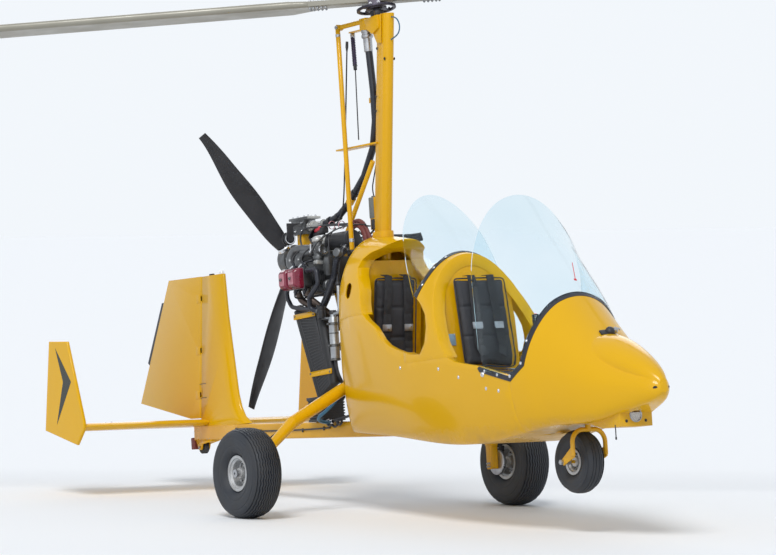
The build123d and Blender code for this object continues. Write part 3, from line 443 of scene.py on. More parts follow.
# Nose fittings: the vent's catch on the ridge of the blister, two tow-ring bushes in the tip, and the landing
# lamp in the chin, a reflector behind a clear acrylic lens, with a bezel and four screws.
mesh = bmesh.new()
vent = facing((1.776, 0.0, 0.7305), (0.67, 0.0, 0.74), (0, 1, 0)) @ Matrix.Scale(1.35, 4)
cut_sheet(mesh, [(-0.034, -0.012), (0.012, -0.016), (0.034, -0.004), (0.034, 0.008), (0.004, 0.015),
                 (-0.034, 0.01)], 0.006, vent, 0.0015)
turned(mesh, [(0.0, 0.004), (0.017, 0.004), (0.017, 0.012), (0.013, 0.019), (0.006, 0.022), (0, 0.022)],
       vent @ Matrix.Translation((0.006, 0, 0)), 20)
fit("vent_catch", mesh, satin_black)
mesh = bmesh.new()
turned(mesh, [(0.0, 0.0), (0.010, 0.002), (0.0115, 0.010), (0.008, 0.018), (0, 0.02)],
       vent @ Matrix.Translation((0.024, -0.002, 0.004)), 20)
tubing(mesh, [vent @ Vector(p) for p in ((0.026, 0, 0.018), (0.04, 0, 0.022), (0.048, 0.004, 0.010))], 0.004)
fit("vent_catch_pin", mesh, bare_metal)
# Tow-ring bushes as closed black domes: the bush's own black, and painted shade standing for the hole in it
mesh = bmesh.new()
for side in (-1, 1):
    spot, out = Vector((2.166, side * 0.037, 0.445)), Vector((0.69, side * 0.62, -0.37))
    turned(mesh, [(0.0, 0.0035), (0.0115, 0.0025), (0.0125, 0.0005), (0.0125, -0.006)], facing(spot, out), 24)
fit("nose_bush_and_hole_shade", mesh, satin_black)

LAMP_X, LAMP_Z = 1.952, 0.339
lamp_bowl = coating("lamp_bowl", (0.42, 0.33, 0.28), (0.75, 0.68, 0.60), 160.0, 0.4, 160.0, 0.05, 0.14, 0.0,
                    metallic=1.0)
dress(lamp_bowl, "landing_lamp")
acrylic = coating("acrylic", (0.84, 0.94, 0.98), (0.78, 0.90, 0.95), 2.0, 1.0, 80.0, 0.02, 0.06, 0.0)
surface = acrylic.node_tree.nodes["Principled BSDF"]
surface.inputs["Transmission Weight"].default_value = 1.0
surface.inputs["IOR"].default_value = 1.14
mesh = bmesh.new()
turned(mesh, [(0.029, -0.012), (0.029, 0.001), (0.031, 0.003), (0.034, 0.003), (0.036, 0.0), (0.036, -0.002)],
       facing((LAMP_X, 0, LAMP_Z), (1, 0, 0)), 40)
fit("lamp_bezel", mesh, bare_metal)
mesh = bmesh.new()
turned(mesh, [(0.0, 0.006), (0.012, 0.0055), (0.022, 0.004), (0.029, 0.001)],
       facing((LAMP_X, 0, LAMP_Z), (1, 0, 0)), 40)
fit("lamp_lens", mesh, acrylic, flip=False)
mesh = bmesh.new()
for y in (-0.055, 0.055):
    for z in (LAMP_Z - 0.028, LAMP_Z + 0.028):
        screw(mesh, (LAMP_X, y, z), (1, 0, 0), 0.005, 0.003)
fit("lamp_screws", mesh, satin_black)

# Windshields: the lamp's clear acrylic, blown, with the faintest blue and pale cut edges, their paleness
# partly the sawn acrylic's frosting and partly a painted highlight. Their black edge trims are strips on the
# skin, held by small bright screws; the red yaw thread is taped to the front one.
dress(acrylic, "front_windshield", "rear_windshield", edge=0)
# Opaque pale tone for the panes' sawn edges: partly the cut acrylic's frosting, partly a painted highlight
pale_edge_and_highlight = coating("pale_edge_and_highlight", (0.62, 0.76, 0.80), (0.50, 0.66, 0.72), 20.0, 0.5, 300.0, 0.2, 0.35, 0.02)
# A face on a pane's sawn edge has more acrylic behind it than the pane is thick
for node in ("front_windshield", "rear_windshield"):
    tint(node, pale_edge_and_highlight, lambda f: f.center.x < 1.27
         and (skin(node).ray_cast(f.center - f.normal * 0.0004, -f.normal)[3] or 1.0) > 0.012)
trim_rubber = coating("trim_rubber", (0.010, 0.012, 0.020), (0.022, 0.026, 0.04), 9.0, 0.6, 420.0, 0.3, 0.5,
                      0.05)
dress(trim_rubber, "windshield_trims", edge=0)
mesh = bmesh.new()
for side in (-1, 1):
    for x, z in ((1.215, 0.603), (1.309, 0.579), (1.399, 0.565), (1.474, 0.620), (1.498, 0.723),
                 (1.511, 0.813), (1.520, 0.899), (1.532, 0.950), (0.612, 1.063), (0.626, 1.144),
                 (0.635, 1.193)):
        spot, out = on_skin("windshield_trims", x, z, side)
        if spot:
            screw(mesh, spot, out, 0.0052, 0.0028)
    for x, z in ((0.839, 0.642), (1.211, 0.521), (1.304, 0.504), (0.500, 0.672), (1.000, 0.590)):
        spot, out = on_skin("pod_tub", x, z, side)
        if spot:
            screw(mesh, spot, out, 0.0058, 0.003)
fit("pod_screws", mesh, bright_screw)
mesh = bmesh.new()
for side in (-1, 1):
    spot, out = on_skin("pod_tub", 1.196, 0.588, side)
    turned(mesh, [(0.0125, -0.004), (0.0125, 0.003), (0.010, 0.006), (0.004, 0.007), (0.0035, 0.005),
                  (0, 0.005)], facing(spot, out), 24)
fit("step_plugs", mesh, bright_screw)
thread = coating("thread", (0.75, 0.02, 0.02), (0.5, 0.01, 0.01), 90.0, 0.5, 600.0, 0.7, 0.9, 0.1)
mesh = bmesh.new()
laid = []
for x, y, z in ((1.500, 0.034, 1.000), (1.475, 0.050, 1.028), (1.446, 0.066, 1.056), (1.417, 0.084, 1.085)):
    spot, out, *_ = skin("front_windshield").find_nearest(Vector((x + 0.02, y, z + 0.02)))
    laid.append(spot + out * math.copysign(0.0022, out.x))
tubing(mesh, laid, 0.0016)
slab(mesh, (0.016, 0.012, 0.0012), facing(laid[0], (0.76, 0.12, 0.64), (0, 1, 0)), 0.0004)
fit("yaw_thread", mesh, thread)

# Blank plate riveted to the front seat pan beside its back pad: thin blue-grey aluminium.
plate_blue = coating("plate_blue", (0.30, 0.42, 0.52), (0.22, 0.32, 0.42), 30.0, 0.5, 500.0, 0.3, 0.5, 0.03,
                     metallic=0.4)
mesh = bmesh.new()
plate_at = facing((0.752, -0.180, 0.785), (1.0, 0, 0.08), (0, 1, 0))
slab(mesh, (0.042, 0.056, 0.0016), plate_at @ Matrix.Translation((0, 0, 0.0008)), 0.0006)
fit("hoop_plate", mesh, plate_blue)
mesh = bmesh.new()
for x in (-0.017, 0.017):
    for y in (-0.024, 0.024):
        screw(mesh, plate_at @ Vector((x, y, 0.0016)), (1.0, 0, 0.08), 0.0022, 0.0012, False, 8)
fit("hoop_plate_rivets", mesh, bright_screw)

# Both seats: a glass-fibre pan with a thick seat pad and back pad in black vinyl, stuffed with foam, welted
# round the edge and sewn across twice. Black webbing harnesses lie over the pads.
paint = coating("paint", (0.72, 0.38, 0.002), (0.62, 0.32, 0.002), 2.5, 0.4, 260.0, 0.22, 0.36, 0.01,
                coat=0.15, dust=(0.05, 0.4, 0.45), shine=0.25)
dress(paint, "front_seat_shell", "rear_seat_shell", edge=0)
vinyl = coating("vinyl", (0.020, 0.020, 0.024), (0.050, 0.050, 0.056), 14.0, 0.7, 900.0, 0.6, 0.85, 0.3,
                relief=0.0008)
webbing = coating("webbing", (0.018, 0.018, 0.02), (0.05, 0.05, 0.055), 40.0, 0.6, 1600.0, 0.8, 0.95, 0.5,
                  relief=0.0006)
# Pad name, foot of its underside, length, lean in degrees, width, thickness
PADS = (
    ("front_seat_pad", (0.845, 0.566), 0.320, -6.0, 0.340, 0.060),
    ("front_back_pad", (0.822, 0.650), 0.440, 98.0, 0.300, 0.050),
    ("rear_seat_pad", (0.040, 0.612), 0.360, -6.5, 0.330, 0.060),
    ("rear_back_pad", (-0.018, 0.700), 0.450, 82.25, 0.250, 0.050),
)


def strap(mesh, pad_place, run, out_of):
    """Webbing laid from place to place on a pad."""
    for first, last in zip(run, run[1:]):
        first, last = Vector(first), Vector(last)
        way = last - first
        flat = pad_place @ facing((first + last) / 2, out_of(way), way)
        slab(mesh, (way.length + 0.004, 0.044, 0.0024), flat, 0.0006)


straps, buckles = bmesh.new(), bmesh.new()
for name, (x, z), length, lean, width, thick in PADS:
    seat = Matrix.Translation((x, 0, z)) @ Matrix.Rotation(math.radians(-lean), 4, "Y")
    mesh = bmesh.new()
    box = bmesh.ops.create_cube(mesh, size=1.0)["verts"]
    bmesh.ops.scale(mesh, vec=(length - 0.014, width - 0.014, thick - 0.016), verts=box)
    bmesh.ops.translate(mesh, vec=(length / 2, 0, thick / 2), verts=box)
    soften(mesh, box, 0.014, 3)
    bmesh.ops.transform(mesh, matrix=seat, verts=mesh.verts)
    pad = fit(name, mesh, vinyl)
    remesh = pad.modifiers.new("voxels", "REMESH")
    remesh.mode = "VOXEL"
    remesh.voxel_size = 0.0065
    bpy.context.view_layer.update()
    smooth = bpy.data.meshes.new_from_object(pad.evaluated_get(bpy.context.evaluated_depsgraph_get()))
    pad.modifiers.clear()
    pad.data = smooth
    smooth.polygons.foreach_set("use_smooth", [True] * len(smooth.polygons))
    before = [v.co.copy() for v in smooth.vertices]
    cloth = pad.modifiers.new("cloth", "CLOTH")
    cloth.settings.use_pressure = True
    cloth.settings.uniform_pressure_force = 4.0
    cloth.settings.effector_weights.gravity = 0.0
    cloth.settings.quality = 4
    for step in range(1, 15):
        bpy.context.scene.frame_set(step)
    blown = bpy.data.meshes.new_from_object(pad.evaluated_get(bpy.context.evaluated_depsgraph_get()))
    pad.modifiers.clear()
    bpy.context.scene.frame_set(1)
    for v, start in zip(blown.vertices, before):
        move = v.co - start
        if move.length > 0.007:
            v.co = start + move * (0.007 / move.length)
    pad.data = blown
    inward = seat.inverted()
    back = name.endswith("back_pad")
    face = -1 if back else 1
    for v in pad.data.vertices:
        p = inward @ v.co
        for line in (0.34, 0.67):
            near = abs(p.x - length * line)
            if near < 0.016 and (p.z - thick / 2) * face > 0 and abs(p.y) < width / 2 - 0.01:
                p.z -= face * 0.006 * (1 - near / 0.016) ** 2
        v.co = seat @ p
    if not pad.data.materials:
        pad.data.materials.append(vinyl)
    sub = pad.modifiers.new("smooth", "SUBSURF")
    sub.levels = sub.render_levels = 1
    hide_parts("seat_cushions")
    mesh = bmesh.new()
    a, b = length - 0.004, width / 2 - 0.002
    welt = [(0.03, -b), (a - 0.03, -b), (a - 0.004, -b + 0.004), (a, -b + 0.03), (a, b - 0.03),
            (a - 0.004, b - 0.004), (a - 0.03, b), (0.03, b), (0.008, b - 0.004), (0.004, b - 0.03),
            (0.004, 0.03 - b), (0.008, 0.004 - b), (0.03, -b), (0.06, -b)]
    tubing(mesh, [seat @ Vector((p, q, thick * (0.5 + 0.22 * face))) for p, q in welt], 0.0035, 8)
    fit(name + "_welt", mesh, vinyl)
    # Shoulder halves run over the back pad from its top, lap halves from the pan's sides to the buckle plate
    for side in (-1, 1):
        if back:
            strap(straps, seat, [
                (length + 0.012, 0.055 * side, thick * 0.7), (length + 0.006, 0.055 * side, -0.003),
                (length - 0.05, 0.056 * side, -0.007), (length * 0.6, 0.06 * side, -0.007),
                (length * 0.3, 0.066 * side, -0.008), (0.1, 0.07 * side, -0.009), (0.05, 0.05 * side, -0.030),
            ], lambda way: Vector((-way.z, 0, way.x)))
            slider = seat @ Matrix.Translation((length * 0.45, 0.064 * side, -0.011))
            slab(buckles, (0.034, 0.052, 0.006), slider, 0.002)
        else:
            strap(straps, seat, [
                (0.03, side * (width / 2 + 0.004), 0.02), (0.06, side * (width / 2 - 0.006), thick + 0.006),
                (0.10, side * 0.09, thick + 0.009), (0.14, side * 0.035, thick + 0.010),
            ], lambda way: way.cross(Vector((1, 0, 0))))
    if not back:
        slab(buckles, (0.05, 0.06, 0.010), seat @ Matrix.Translation((0.145, 0, thick + 0.013)), 0.003)
fit("harness", straps, webbing)
fit("harness_buckles", buckles, bare_metal)

# Controls and panel: black sticks with rubber grips and a red button, alloy pedals, and round instruments
# with black bezels, dark faces, bright marks and needles on a black board.
dress(satin_black, "instrument_panel", "control_sticks")
mesh = bmesh.new()
PANEL_OUT = (-0.986, 0, 0.163)
half = [(0.0, -0.262), (0.060, -0.258), (0.115, -0.240), (0.160, -0.205), (0.185, -0.155), (0.192, -0.100),
        (0.190, 0.0), (0.09, 0.0), (0.09, -0.062)]
cut_sheet(mesh, half + [(-y, z) for y, z in reversed(half[1:])], 0.012,
          facing((1.4915, 0, 0.638), PANEL_OUT, (0, 1, 0)), 0.003)
piece = fit("panel_board", mesh, satin_black)
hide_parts("instrument_panel")
dress(bare_metal, "rudder_pedals", "fork_socket", "brake_plates")
mesh = bmesh.new()
for x, z in ((1.206, 0.864), (0.474, 0.884)):
    turned(mesh, [(0.0, 0.006), (0.005, 0.005), (0.006, 0.0), (0.0, 0.0)],
           facing((x - 0.002, 0, z), (-0.1, 0, 1)), 16)
fit("grip_buttons", mesh, thread)
mesh = bmesh.new()
for x, z in ((1.2090, 0.80), (0.4775, 0.82)):
    for k in range(7):
        turned(mesh, [(0.0168, -0.003), (0.0184, -0.0015), (0.0184, 0.0015), (0.0168, 0.003)],
               facing((x + 0.0016 * (3 - k), 0, z + 0.012 * (k - 3)), (-0.14, 0, 0.99)), 20)
fit("grip_ribs", mesh, trim_rubber)
dial_face = coating("dial_face", (0.02, 0.02, 0.022), (0.03, 0.03, 0.034), 40.0, 0.4, 300.0, 0.2, 0.3, 0.01)
# Instrument: height, half spacing, radius
bezels, faces, hands = bmesh.new(), bmesh.new(), bmesh.new()
for z, y, r in ((0.842, 0.0, 0.038), (0.808, 0.090, 0.038), (0.808, -0.090, 0.038), (0.750, 0.045, 0.027),
                (0.750, -0.045, 0.027), (0.722, 0.142, 0.027), (0.722, -0.142, 0.027)):
    x = 1.480 + (z - 0.640) * 0.1655
    at = facing((x - 0.0005, y, z), PANEL_OUT, (0, 1, 0))
    turned(bezels, [(r * 0.86, 0.001), (r * 0.9, 0.006), (r, 0.006), (r * 1.04, 0.001), (r * 1.04, -0.002)],
           at, 32)
    turned(faces, [(r * 0.88, 0.0), (r * 0.86, 0.002), (0, 0.002)], at, 32)
    for k in range(0, 300, 30):
        slab(hands, (r * 0.16, 0.0012, 0.0004),
             at @ Matrix.Rotation(math.radians(k - 60), 4, "Z") @ Matrix.Translation((r * 0.72, 0, 0.0024)))
    slab(hands, (r * 0.7, 0.0022, 0.0006),
         at @ Matrix.Rotation(math.radians(200 + 900 * y), 4, "Z")
         @ Matrix.Translation((r * 0.28, 0, 0.0032)))
fit("dial_bezels", bezels, satin_black)
fit("dial_faces", faces, dial_face)
fit("dial_hands", hands, bright_screw)

# Mast: one drawn aluminium section, round in front and chamfered behind, leaning forward out of its boot.
# It carries a pair of side plates at its head, a relay box, its screws, and one dark throttle cable.
dress(paint, "mast", "mast_boot", "mast_brackets")
mesh = bmesh.new()
for side in (-1, 1):
    outline = [(0.094, 2.453), (0.009, 2.424), (-0.002, 2.390), (0.041, 2.313), (0.080, 2.308)]
    cut_sheet(mesh, [(x, z * -side) for x, z in outline], 0.004,
              facing((0, side * 0.030, 0), (0, side, 0), (1, 0, 0)), 0.001)
fit("mast_plates", mesh, paint)
mesh = bmesh.new()
for side in (-1, 1):
    for x, z in ((0.054, 2.429), (0.059, 2.396)):
        hex_nut(mesh, (x, side * 0.034, z), (0, side, 0), 0.015, 0.006, 0.003)
    for x, z in ((0.033, 2.286), (0.095, 2.228), (-0.012, 1.98), (-0.004, 2.05)):
        screw(mesh, (x, side * 0.0285, z), (0, side, 0), 0.005, 0.003)
    for x, z in ((0.098, 1.364), (-0.012, 1.338), (-0.100, 1.345), (0.045, 1.335)):
        spot, out = on_skin("mast_boot", x, z, side)
        if spot:
            screw(mesh, spot, out, 0.0045, 0.003)
fit("mast_bolts", mesh, satin_black)
mesh = bmesh.new()
slab(mesh, (0.040, 0.050, 0.105), Matrix.Translation((-0.116, 0, 1.508)), 0.004)
slab(mesh, (0.016, 0.030, 0.012), Matrix.Translation((-0.116, 0, 1.562)), 0.003)
relay_grey = coating("relay_grey", (0.16, 0.17, 0.16), (0.09, 0.10, 0.09), 40.0, 0.5, 400.0, 0.4, 0.6, 0.06)
fit("relay_box", mesh, relay_grey)
mesh = bmesh.new()
slab(mesh, (0.034, 0.046, 0.052), Matrix.Translation((-0.112, 0, 1.426)), 0.004)
tubing(mesh, [(-0.120, -0.010, 1.402), (-0.150, -0.020, 1.37), (-0.185, -0.040, 1.375), (-0.20, -0.05, 1.40)],
       0.005)
tubing(mesh, [(-0.126, 0.006, 1.560), (-0.150, 0.010, 1.60), (-0.128, 0.012, 1.66), (-0.085, 0.012, 1.76)],
       0.0035)
fit("relay_plug", mesh, satin_black)
mesh = bmesh.new()
tubing(mesh, [(-0.202, -0.05, 2.334), (-0.222, -0.05, 2.20), (-0.242, -0.05, 2.062), (-0.282, -0.05, 1.80),
              (-0.317, -0.05, 1.573), (-0.335, -0.055, 1.50), (-0.38, -0.06, 1.455)], 0.004)
turned(mesh, [(0.0, 0.0), (0.007, 0.002), (0.0075, 0.03), (0.004, 0.05), (0, 0.05)],
       facing((-0.200, -0.05, 2.352), (-0.14, 0, -0.99)), 14)
fit("throttle_cable", mesh, satin_black)
cable_blue = coating("cable_blue", (0.03, 0.13, 0.22), (0.02, 0.08, 0.14), 40.0, 0.4, 400.0, 0.35, 0.5, 0.05)
mesh = bmesh.new()
tubing(mesh, [(0.120, 0.0, 2.432), (0.170, 0.0, 2.430), (0.205, 0.0, 2.390), (0.200, 0.0, 2.350),
              (0.165, 0.0, 2.328), (0.112, 0.0, 2.318)], 0.0035)
fit("head_cable", mesh, cable_blue)

# Rotor head: dark cast gimbal between yellow cheeks; yellow torque arm with its eye, two push rods down to
# the pod, the starboard one yellow and the one further to port coloured black, the trim spring, and the
# silver coupling at the top of the prerotator shaft.
casting = coating("casting", (0.030, 0.032, 0.036), (0.085, 0.085, 0.085), 18.0, 0.5, 220.0, 0.4, 0.65, 0.15,
                  metallic=0.3)
dress(casting, "rotor_head")
tint("rotor_head", paint, lambda f: abs(f.center.y) > 0.0285 and f.center.z < 2.4525)
dress(paint, "torque_tube", "control_rods")
# The rod further to port is coloured black; the starboard one keeps the yellow paint
tint("control_rods", satin_black, lambda f: f.center.y > -0.055)
dress(trim_rubber, "prerotator_shaft")
mesh = bmesh.new()
top, low = Vector((-0.222, 0, 2.396)), Vector((-0.186, -0.020, 2.207))
axis = (low - top).normalized()
coil = facing(top, axis)
tubing(mesh, [coil @ Vector((0.0105 * math.cos(k), 0.0105 * math.sin(k), 0.025 + 0.0014 * k))
              for k in [0.9 * n for n in range(118)]], 0.0026, 8)
spring_purple = coating("spring_purple", (0.05, 0.03, 0.09), (0.03, 0.02, 0.05), 60.0, 0.5, 500.0, 0.3, 0.5,
                        0.05, metallic=0.5)
fit("trim_spring", mesh, spring_purple)
mesh = bmesh.new()
turned(mesh, [(0.003, 0.0), (0.011, 0.001), (0.0125, 0.006), (0.0125, 0.022), (0.009, 0.026)], coil, 20)
collar = facing((-0.09, 0, 2.394), (0.03, 0, -1))
turned(mesh, [(0.018, 0.0), (0.029, 0.0), (0.030, 0.003), (0.030, 0.011), (0.027, 0.014), (0.027, 0.022),
              (0.030, 0.025), (0.030, 0.036), (0.026, 0.040), (0.0225, 0.044), (0.0215, 0.108),
              (0.018, 0.110)], collar, 32)
for side in (-1, 1):
    hex_nut(mesh, (-0.232, -0.070 + side * 0.016, 2.424), (0, side, 0), 0.018, 0.007, 0.004)
for k in range(6):
    a = 1.047 * k
    spot = collar @ Vector((0.0245 * math.cos(a), 0.0245 * math.sin(a), 0.0))
    hex_nut(mesh, spot, collar.to_3x3() @ Vector((0, 0, -1)), 0.006, 0.003, 0.001)
tube_end = facing((-0.2315, -0.081, 2.403), (0.05, -0.03, -1))
turned(mesh, [(0.0, -0.012), (0.0075, -0.012), (0.0075, 0.010), (0.013, 0.014), (0.013, 0.026),
              (0.011, 0.028)], tube_end, 18)
tube_foot = facing((-0.1765, -0.1115, 1.33), (-0.05, 0.03, 1))
turned(mesh, [(0.0, -0.010), (0.0075, -0.008), (0.0075, 0.010), (0.013, 0.014), (0.013, 0.030),
              (0.011, 0.032)], tube_foot, 18)
for k in range(5):
    turned(mesh, [(0.0, 0.0), (0.0045, 0.0), (0.0045, 0.0012), (0, 0.0012)],
           facing((-0.228 + 0.026 * k, 0, 2.403), (0, 0, 1)), 12)
fit("head_fittings", mesh, bare_metal)

# Rotor: dark ring gear with cut teeth and teeter tower on the spindle, a grey bar clamped between twin cheek
# bolts, and two bonded alloy blades, whose cuffs are bolted through. Bar and blades are a darkened brownish
# grey: painted shade and a painted reflection of the ground, as on a blade's underside.
ring_steel = coating("ring_steel", (0.055, 0.05, 0.07), (0.11, 0.10, 0.11), 30.0, 0.6, 400.0, 0.35, 0.55,
                     0.08, metallic=0.8)
# Brownish grey darker than the bare alloy: painted shade and painted ground reflection
blade_grey = coating("blade_grey", (0.30, 0.285, 0.235), (0.23, 0.215, 0.17), 5.0, 0.5, 300.0, 0.3, 0.5, 0.02,
                     metallic=0.15)
dress(ring_steel, "rotor_spindle")
dress(blade_grey, "hub_bar", "rotor_blades")
shaft_way = Vector((-math.sin(math.radians(9)), 0, math.cos(math.radians(9))))
span_way = Vector((-math.cos(math.radians(50)), -math.sin(math.radians(50)), 0))
span_way = (span_way - shaft_way * span_way.dot(shaft_way)).normalized()
hub = facing((0, 0, 2.530), shaft_way, span_way)
TEETER_Z, AT_REST = 0.024, math.radians(-5.6)
mesh = bmesh.new()
for k in range(96):
    tooth = hub @ Matrix.Rotation(math.tau * k / 96, 4, "Z") @ Matrix.Translation((0.0965, 0, -0.042))
    slab(mesh, (0.004, 0.0032, 0.011), tooth, taper=0.8)
for k in range(4):
    for r in (0.051, 0.083):
        spot = hub @ Matrix.Rotation(math.radians(45 + 90 * k), 4, "Z") @ Vector((r, 0, -0.037))
        hex_nut(mesh, spot, shaft_way, 0.010, 0.006, 0.003)
fit("ring_teeth", mesh, ring_steel, body="rotor_spindle_body")
mesh = bmesh.new()
for side in (-1, 1):
    outward = hub.to_3x3() @ Vector((0, side, 0))
    hex_nut(mesh, hub @ Vector((0, side * 0.0585, TEETER_Z)), outward, 0.024, 0.010, 0.006)
    for x in (-0.02, 0.02):
        screw(mesh, hub @ Vector((x, side * 0.0575, -0.024)), outward, 0.005, 0.003)
fit("teeter_nuts", mesh, bare_metal, body="rotor_spindle_body")
tilted = (hub @ Matrix.Translation((0, 0, TEETER_Z)) @ Matrix.Rotation(AT_REST, 4, "Y")
          @ Matrix.Translation((0, 0, -TEETER_Z)))
up = tilted.to_3x3() @ Vector((0, 0, 1))
mesh = bmesh.new()
for end in (-1, 1):
    for r in (0.245, 0.265, 0.285, 0.305, 0.322):
        for y in (-0.022, 0.022):
            for face in (-1, 1):
                hex_nut(mesh, tilted @ Vector((end * r, y, face * 0.0155)), up * face, 0.011, 0.006, 0.003)
    for y in (-0.03, 0.03):
        hex_nut(mesh, tilted @ Vector((end * 0.026, y, 0.042)), up, 0.012, 0.007, 0.004)
fit("blade_bolts", mesh, bare_metal, body="rotor")

# Landing gear: one sprung glass-fibre leg, and at each tip a folded steel post held by bolts, with the axle
# and its nut. Each brake has a plate with a caliper and a hose behind the leg; a blue hose runs to the belly.
AXLE_X, AXLE_Y, AXLE_Z = -0.19, 0.795, 0.2215
NOSE_AXLE = (1.483, 0.0, 0.15)
dress(paint, "gear_legs", edge=0)
posts, steel, dark, hose = (bmesh.new() for _ in range(4))
half = [(0.034, 0.348), (0.034, 0.328), (0.021, 0.300), (0.021, 0.192), (0.017, 0.188)]
outline = half + [(-x, z) for x, z in reversed(half)]
for side in (-1, 1):
    cut_sheet(posts, [(AXLE_X + x, z * -side) for x, z in outline], 0.044,
              facing((0, side * 0.638, 0), (0, side, 0), (1, 0, 0)), 0.003)
    for x in (-0.198, -0.182):
        for z in (0.2005, 0.2165):
            hex_nut(steel, (x, side * 0.638, z), (0, -side, 0), 0.010, 0.006, 0.004)
    for x in (-0.205, -0.175):
        hex_nut(steel, (x, side * 0.638, 0.325), (0, -side, 0), 0.012, 0.006, 0.004)
    turned(steel, [(0.0, -0.12), (0.012, -0.12), (0.012, 0.062), (0.020, 0.062), (0.020, 0.070),
                   (0.010, 0.072), (0, 0.072)], facing((AXLE_X, side * AXLE_Y, AXLE_Z), (0, side, 0)), 24)
    hex_nut(steel, (AXLE_X, side * (AXLE_Y + 0.062), AXLE_Z), (0, side, 0), 0.026, 0.008, 0.002)
    slab(dark, (0.052, 0.034, 0.030), Matrix.Translation((AXLE_X, side * 0.706, 0.2895)), 0.005)
    slab(dark, (0.030, 0.020, 0.046), Matrix.Translation((AXLE_X, side * 0.712, 0.283)), 0.004)
    for x in (-0.205, -0.175):
        hex_nut(steel, (x, side * 0.689, 0.292), (0, -side, 0), 0.010, 0.006, 0.003)
    run = [(-0.19, 0.70, 0.306), (-0.21, 0.69, 0.335), (-0.262, 0.66, 0.360), (-0.275, 0.489, 0.455),
           (-0.300, 0.30, 0.545), (-0.312, 0.174, 0.600), (-0.320, 0.12, 0.66)]
    tubing(dark, [(x, side * y, z) for x, y, z in run], 0.0045)
run = [(-0.330, -0.08, 0.700), (-0.340, -0.12, 0.600), (-0.400, -0.17, 0.525), (-0.470, -0.19, 0.492),
       (-0.520, -0.14, 0.470), (-0.560, -0.06, 0.470)]
tubing(hose, run, 0.009)
piece = fit("axle_brackets", posts, paint)
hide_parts("axle_posts")
fit("axle_hardware", steel, bare_metal)
fit("brake_calipers", dark, satin_black)
fit("belly_hose", hose, cable_blue)

# Wheels: black tyres on pale cast rims. The main ones have wavy ribs right across the tread, the nose one
# plain grooves; each cover is one spun section, and the rims carry dark through-nuts and a valve.
tread = coating("tread", (0.014, 0.018, 0.026), (0.060, 0.058, 0.056), 9.0, 0.5, 420.0, 0.5, 0.78, 0.1)
rim_metal = coating("rim_metal", (0.50, 0.51, 0.52), (0.30, 0.28, 0.26), 12.0, 0.6, 300.0, 0.35, 0.6, 0.05,
                    metallic=0.5)
dress(tread, "main_tyre_right", "main_tyre_left", "nose_tyre", "tail_wheel")
dress(rim_metal, "main_rim_right", "main_rim_left", "nose_rim")
# Radius, width, rim radius, groove places, groove width, depth, wave
MAIN_COVER = (0.2215, 0.160, 0.088, (0.0, 0.0135, 0.027, 0.0405, 0.054, 0.0665), 0.0042, 0.0065, 0.0030)
NOSE_COVER = (0.150, 0.100, 0.062, (0.010, 0.024), 0.0028, 0.003, 0.0)
# Which wheel, CAD node, body, axle place, cover, radius of the ring of nuts
WHEELS = (
    ("right", "main_tyre_right", "main_wheel_right", (AXLE_X, -AXLE_Y, AXLE_Z), MAIN_COVER, 0.046),
    ("left", "main_tyre_left", "main_wheel_left", (AXLE_X, AXLE_Y, AXLE_Z), MAIN_COVER, 0.046),
    ("nose", "nose_tyre", "nose_wheel", NOSE_AXLE, NOSE_COVER, 0.036),
)
for which, node, body, place, cover, r in WHEELS:
    radius, width, rim_r, grooves, groove, deep, wave = cover
    half, middle = width / 2, (radius + rim_r) / 2
    side = [(half * 0.62, rim_r - 0.009), (half * 0.64, rim_r + 0.004), (half * 0.76, rim_r + 0.009),
            (half * 0.80, rim_r + 0.013), (half * 0.86, rim_r + 0.017), (half * 0.94, rim_r + 0.028),
            (half * 0.985, rim_r + 0.042), (half * 0.970, rim_r + 0.045), (half * 0.984, rim_r + 0.048),
            (half * 0.998, middle), (half * 0.990, middle + (radius - middle) * 0.30),
            (half * 0.968, middle + (radius - middle) * 0.33),
            (half * 0.972, middle + (radius - middle) * 0.42),
            (half * 0.945, middle + (radius - middle) * 0.62)]
    crown = [(half * 0.905, radius - 0.016 * (0.905 / 0.88) ** 4 - 0.003)]
    for g in sorted({g * s for g in grooves for s in (-1, 1)}, reverse=True):
        for dy, dr in ((groove * 0.6, 0.0), (groove * 0.3, deep), (-groove * 0.3, deep),
                       (-groove * 0.6, 0.0)):
            y = g + dy
            crown.append((y, radius - 0.003 * (y / half / 0.6) ** 2 - 0.011 * (y / half / 0.88) ** 4 - dr))
    crown.append((-crown[0][0], crown[0][1]))
    section = side + crown + [(-y, r) for y, r in reversed(side)]
    mesh = bmesh.new()
    points = [mesh.verts.new((r, y, 0)) for y, r in section]
    closed = [mesh.edges.new((a, b)) for a, b in zip(points, points[1:] + points[:1])]
    bmesh.ops.spin(mesh, geom=points + closed, cent=(0, 0, 0), axis=(0, 1, 0), dvec=(0, 0, 0), angle=math.tau,
                   steps=144, use_merge=True, use_duplicate=False)
    bmesh.ops.remove_doubles(mesh, verts=mesh.verts, dist=1e-6)
    for v in mesh.verts:
        if wave and abs(v.co.y) < half * 0.87 and math.hypot(v.co.x, v.co.z) > middle:
            v.co.y += wave * math.sin(math.atan2(v.co.z, v.co.x) * 36) * (1 - (v.co.y / half / 0.88) ** 4)
    bmesh.ops.translate(mesh, vec=place, verts=mesh.verts)
    piece = fit("tyre_" + which, mesh, tread, body=body)
    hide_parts(node)
for which, node, body, place, cover, r in WHEELS:
    mesh = bmesh.new()
    place = Vector(place)
    for side in (-1, 1):
        for k in range(4):
            a = math.radians(90 * k)
            spot = place + Vector((r * math.cos(a), side * 0.0085, r * math.sin(a)))
            hex_nut(mesh, spot, (0, side, 0), 0.012, 0.008, 0.005)
    valve = ((r * 0.9, 0.0, r * 1.15), (r * 0.85, -0.03, r * 1.05), (r * 0.8, -0.052, r * 0.95))
    tubing(mesh, [place + Vector(p) for p in valve], 0.004)
    fit("rim_nuts_" + which, mesh, satin_black, body=body)

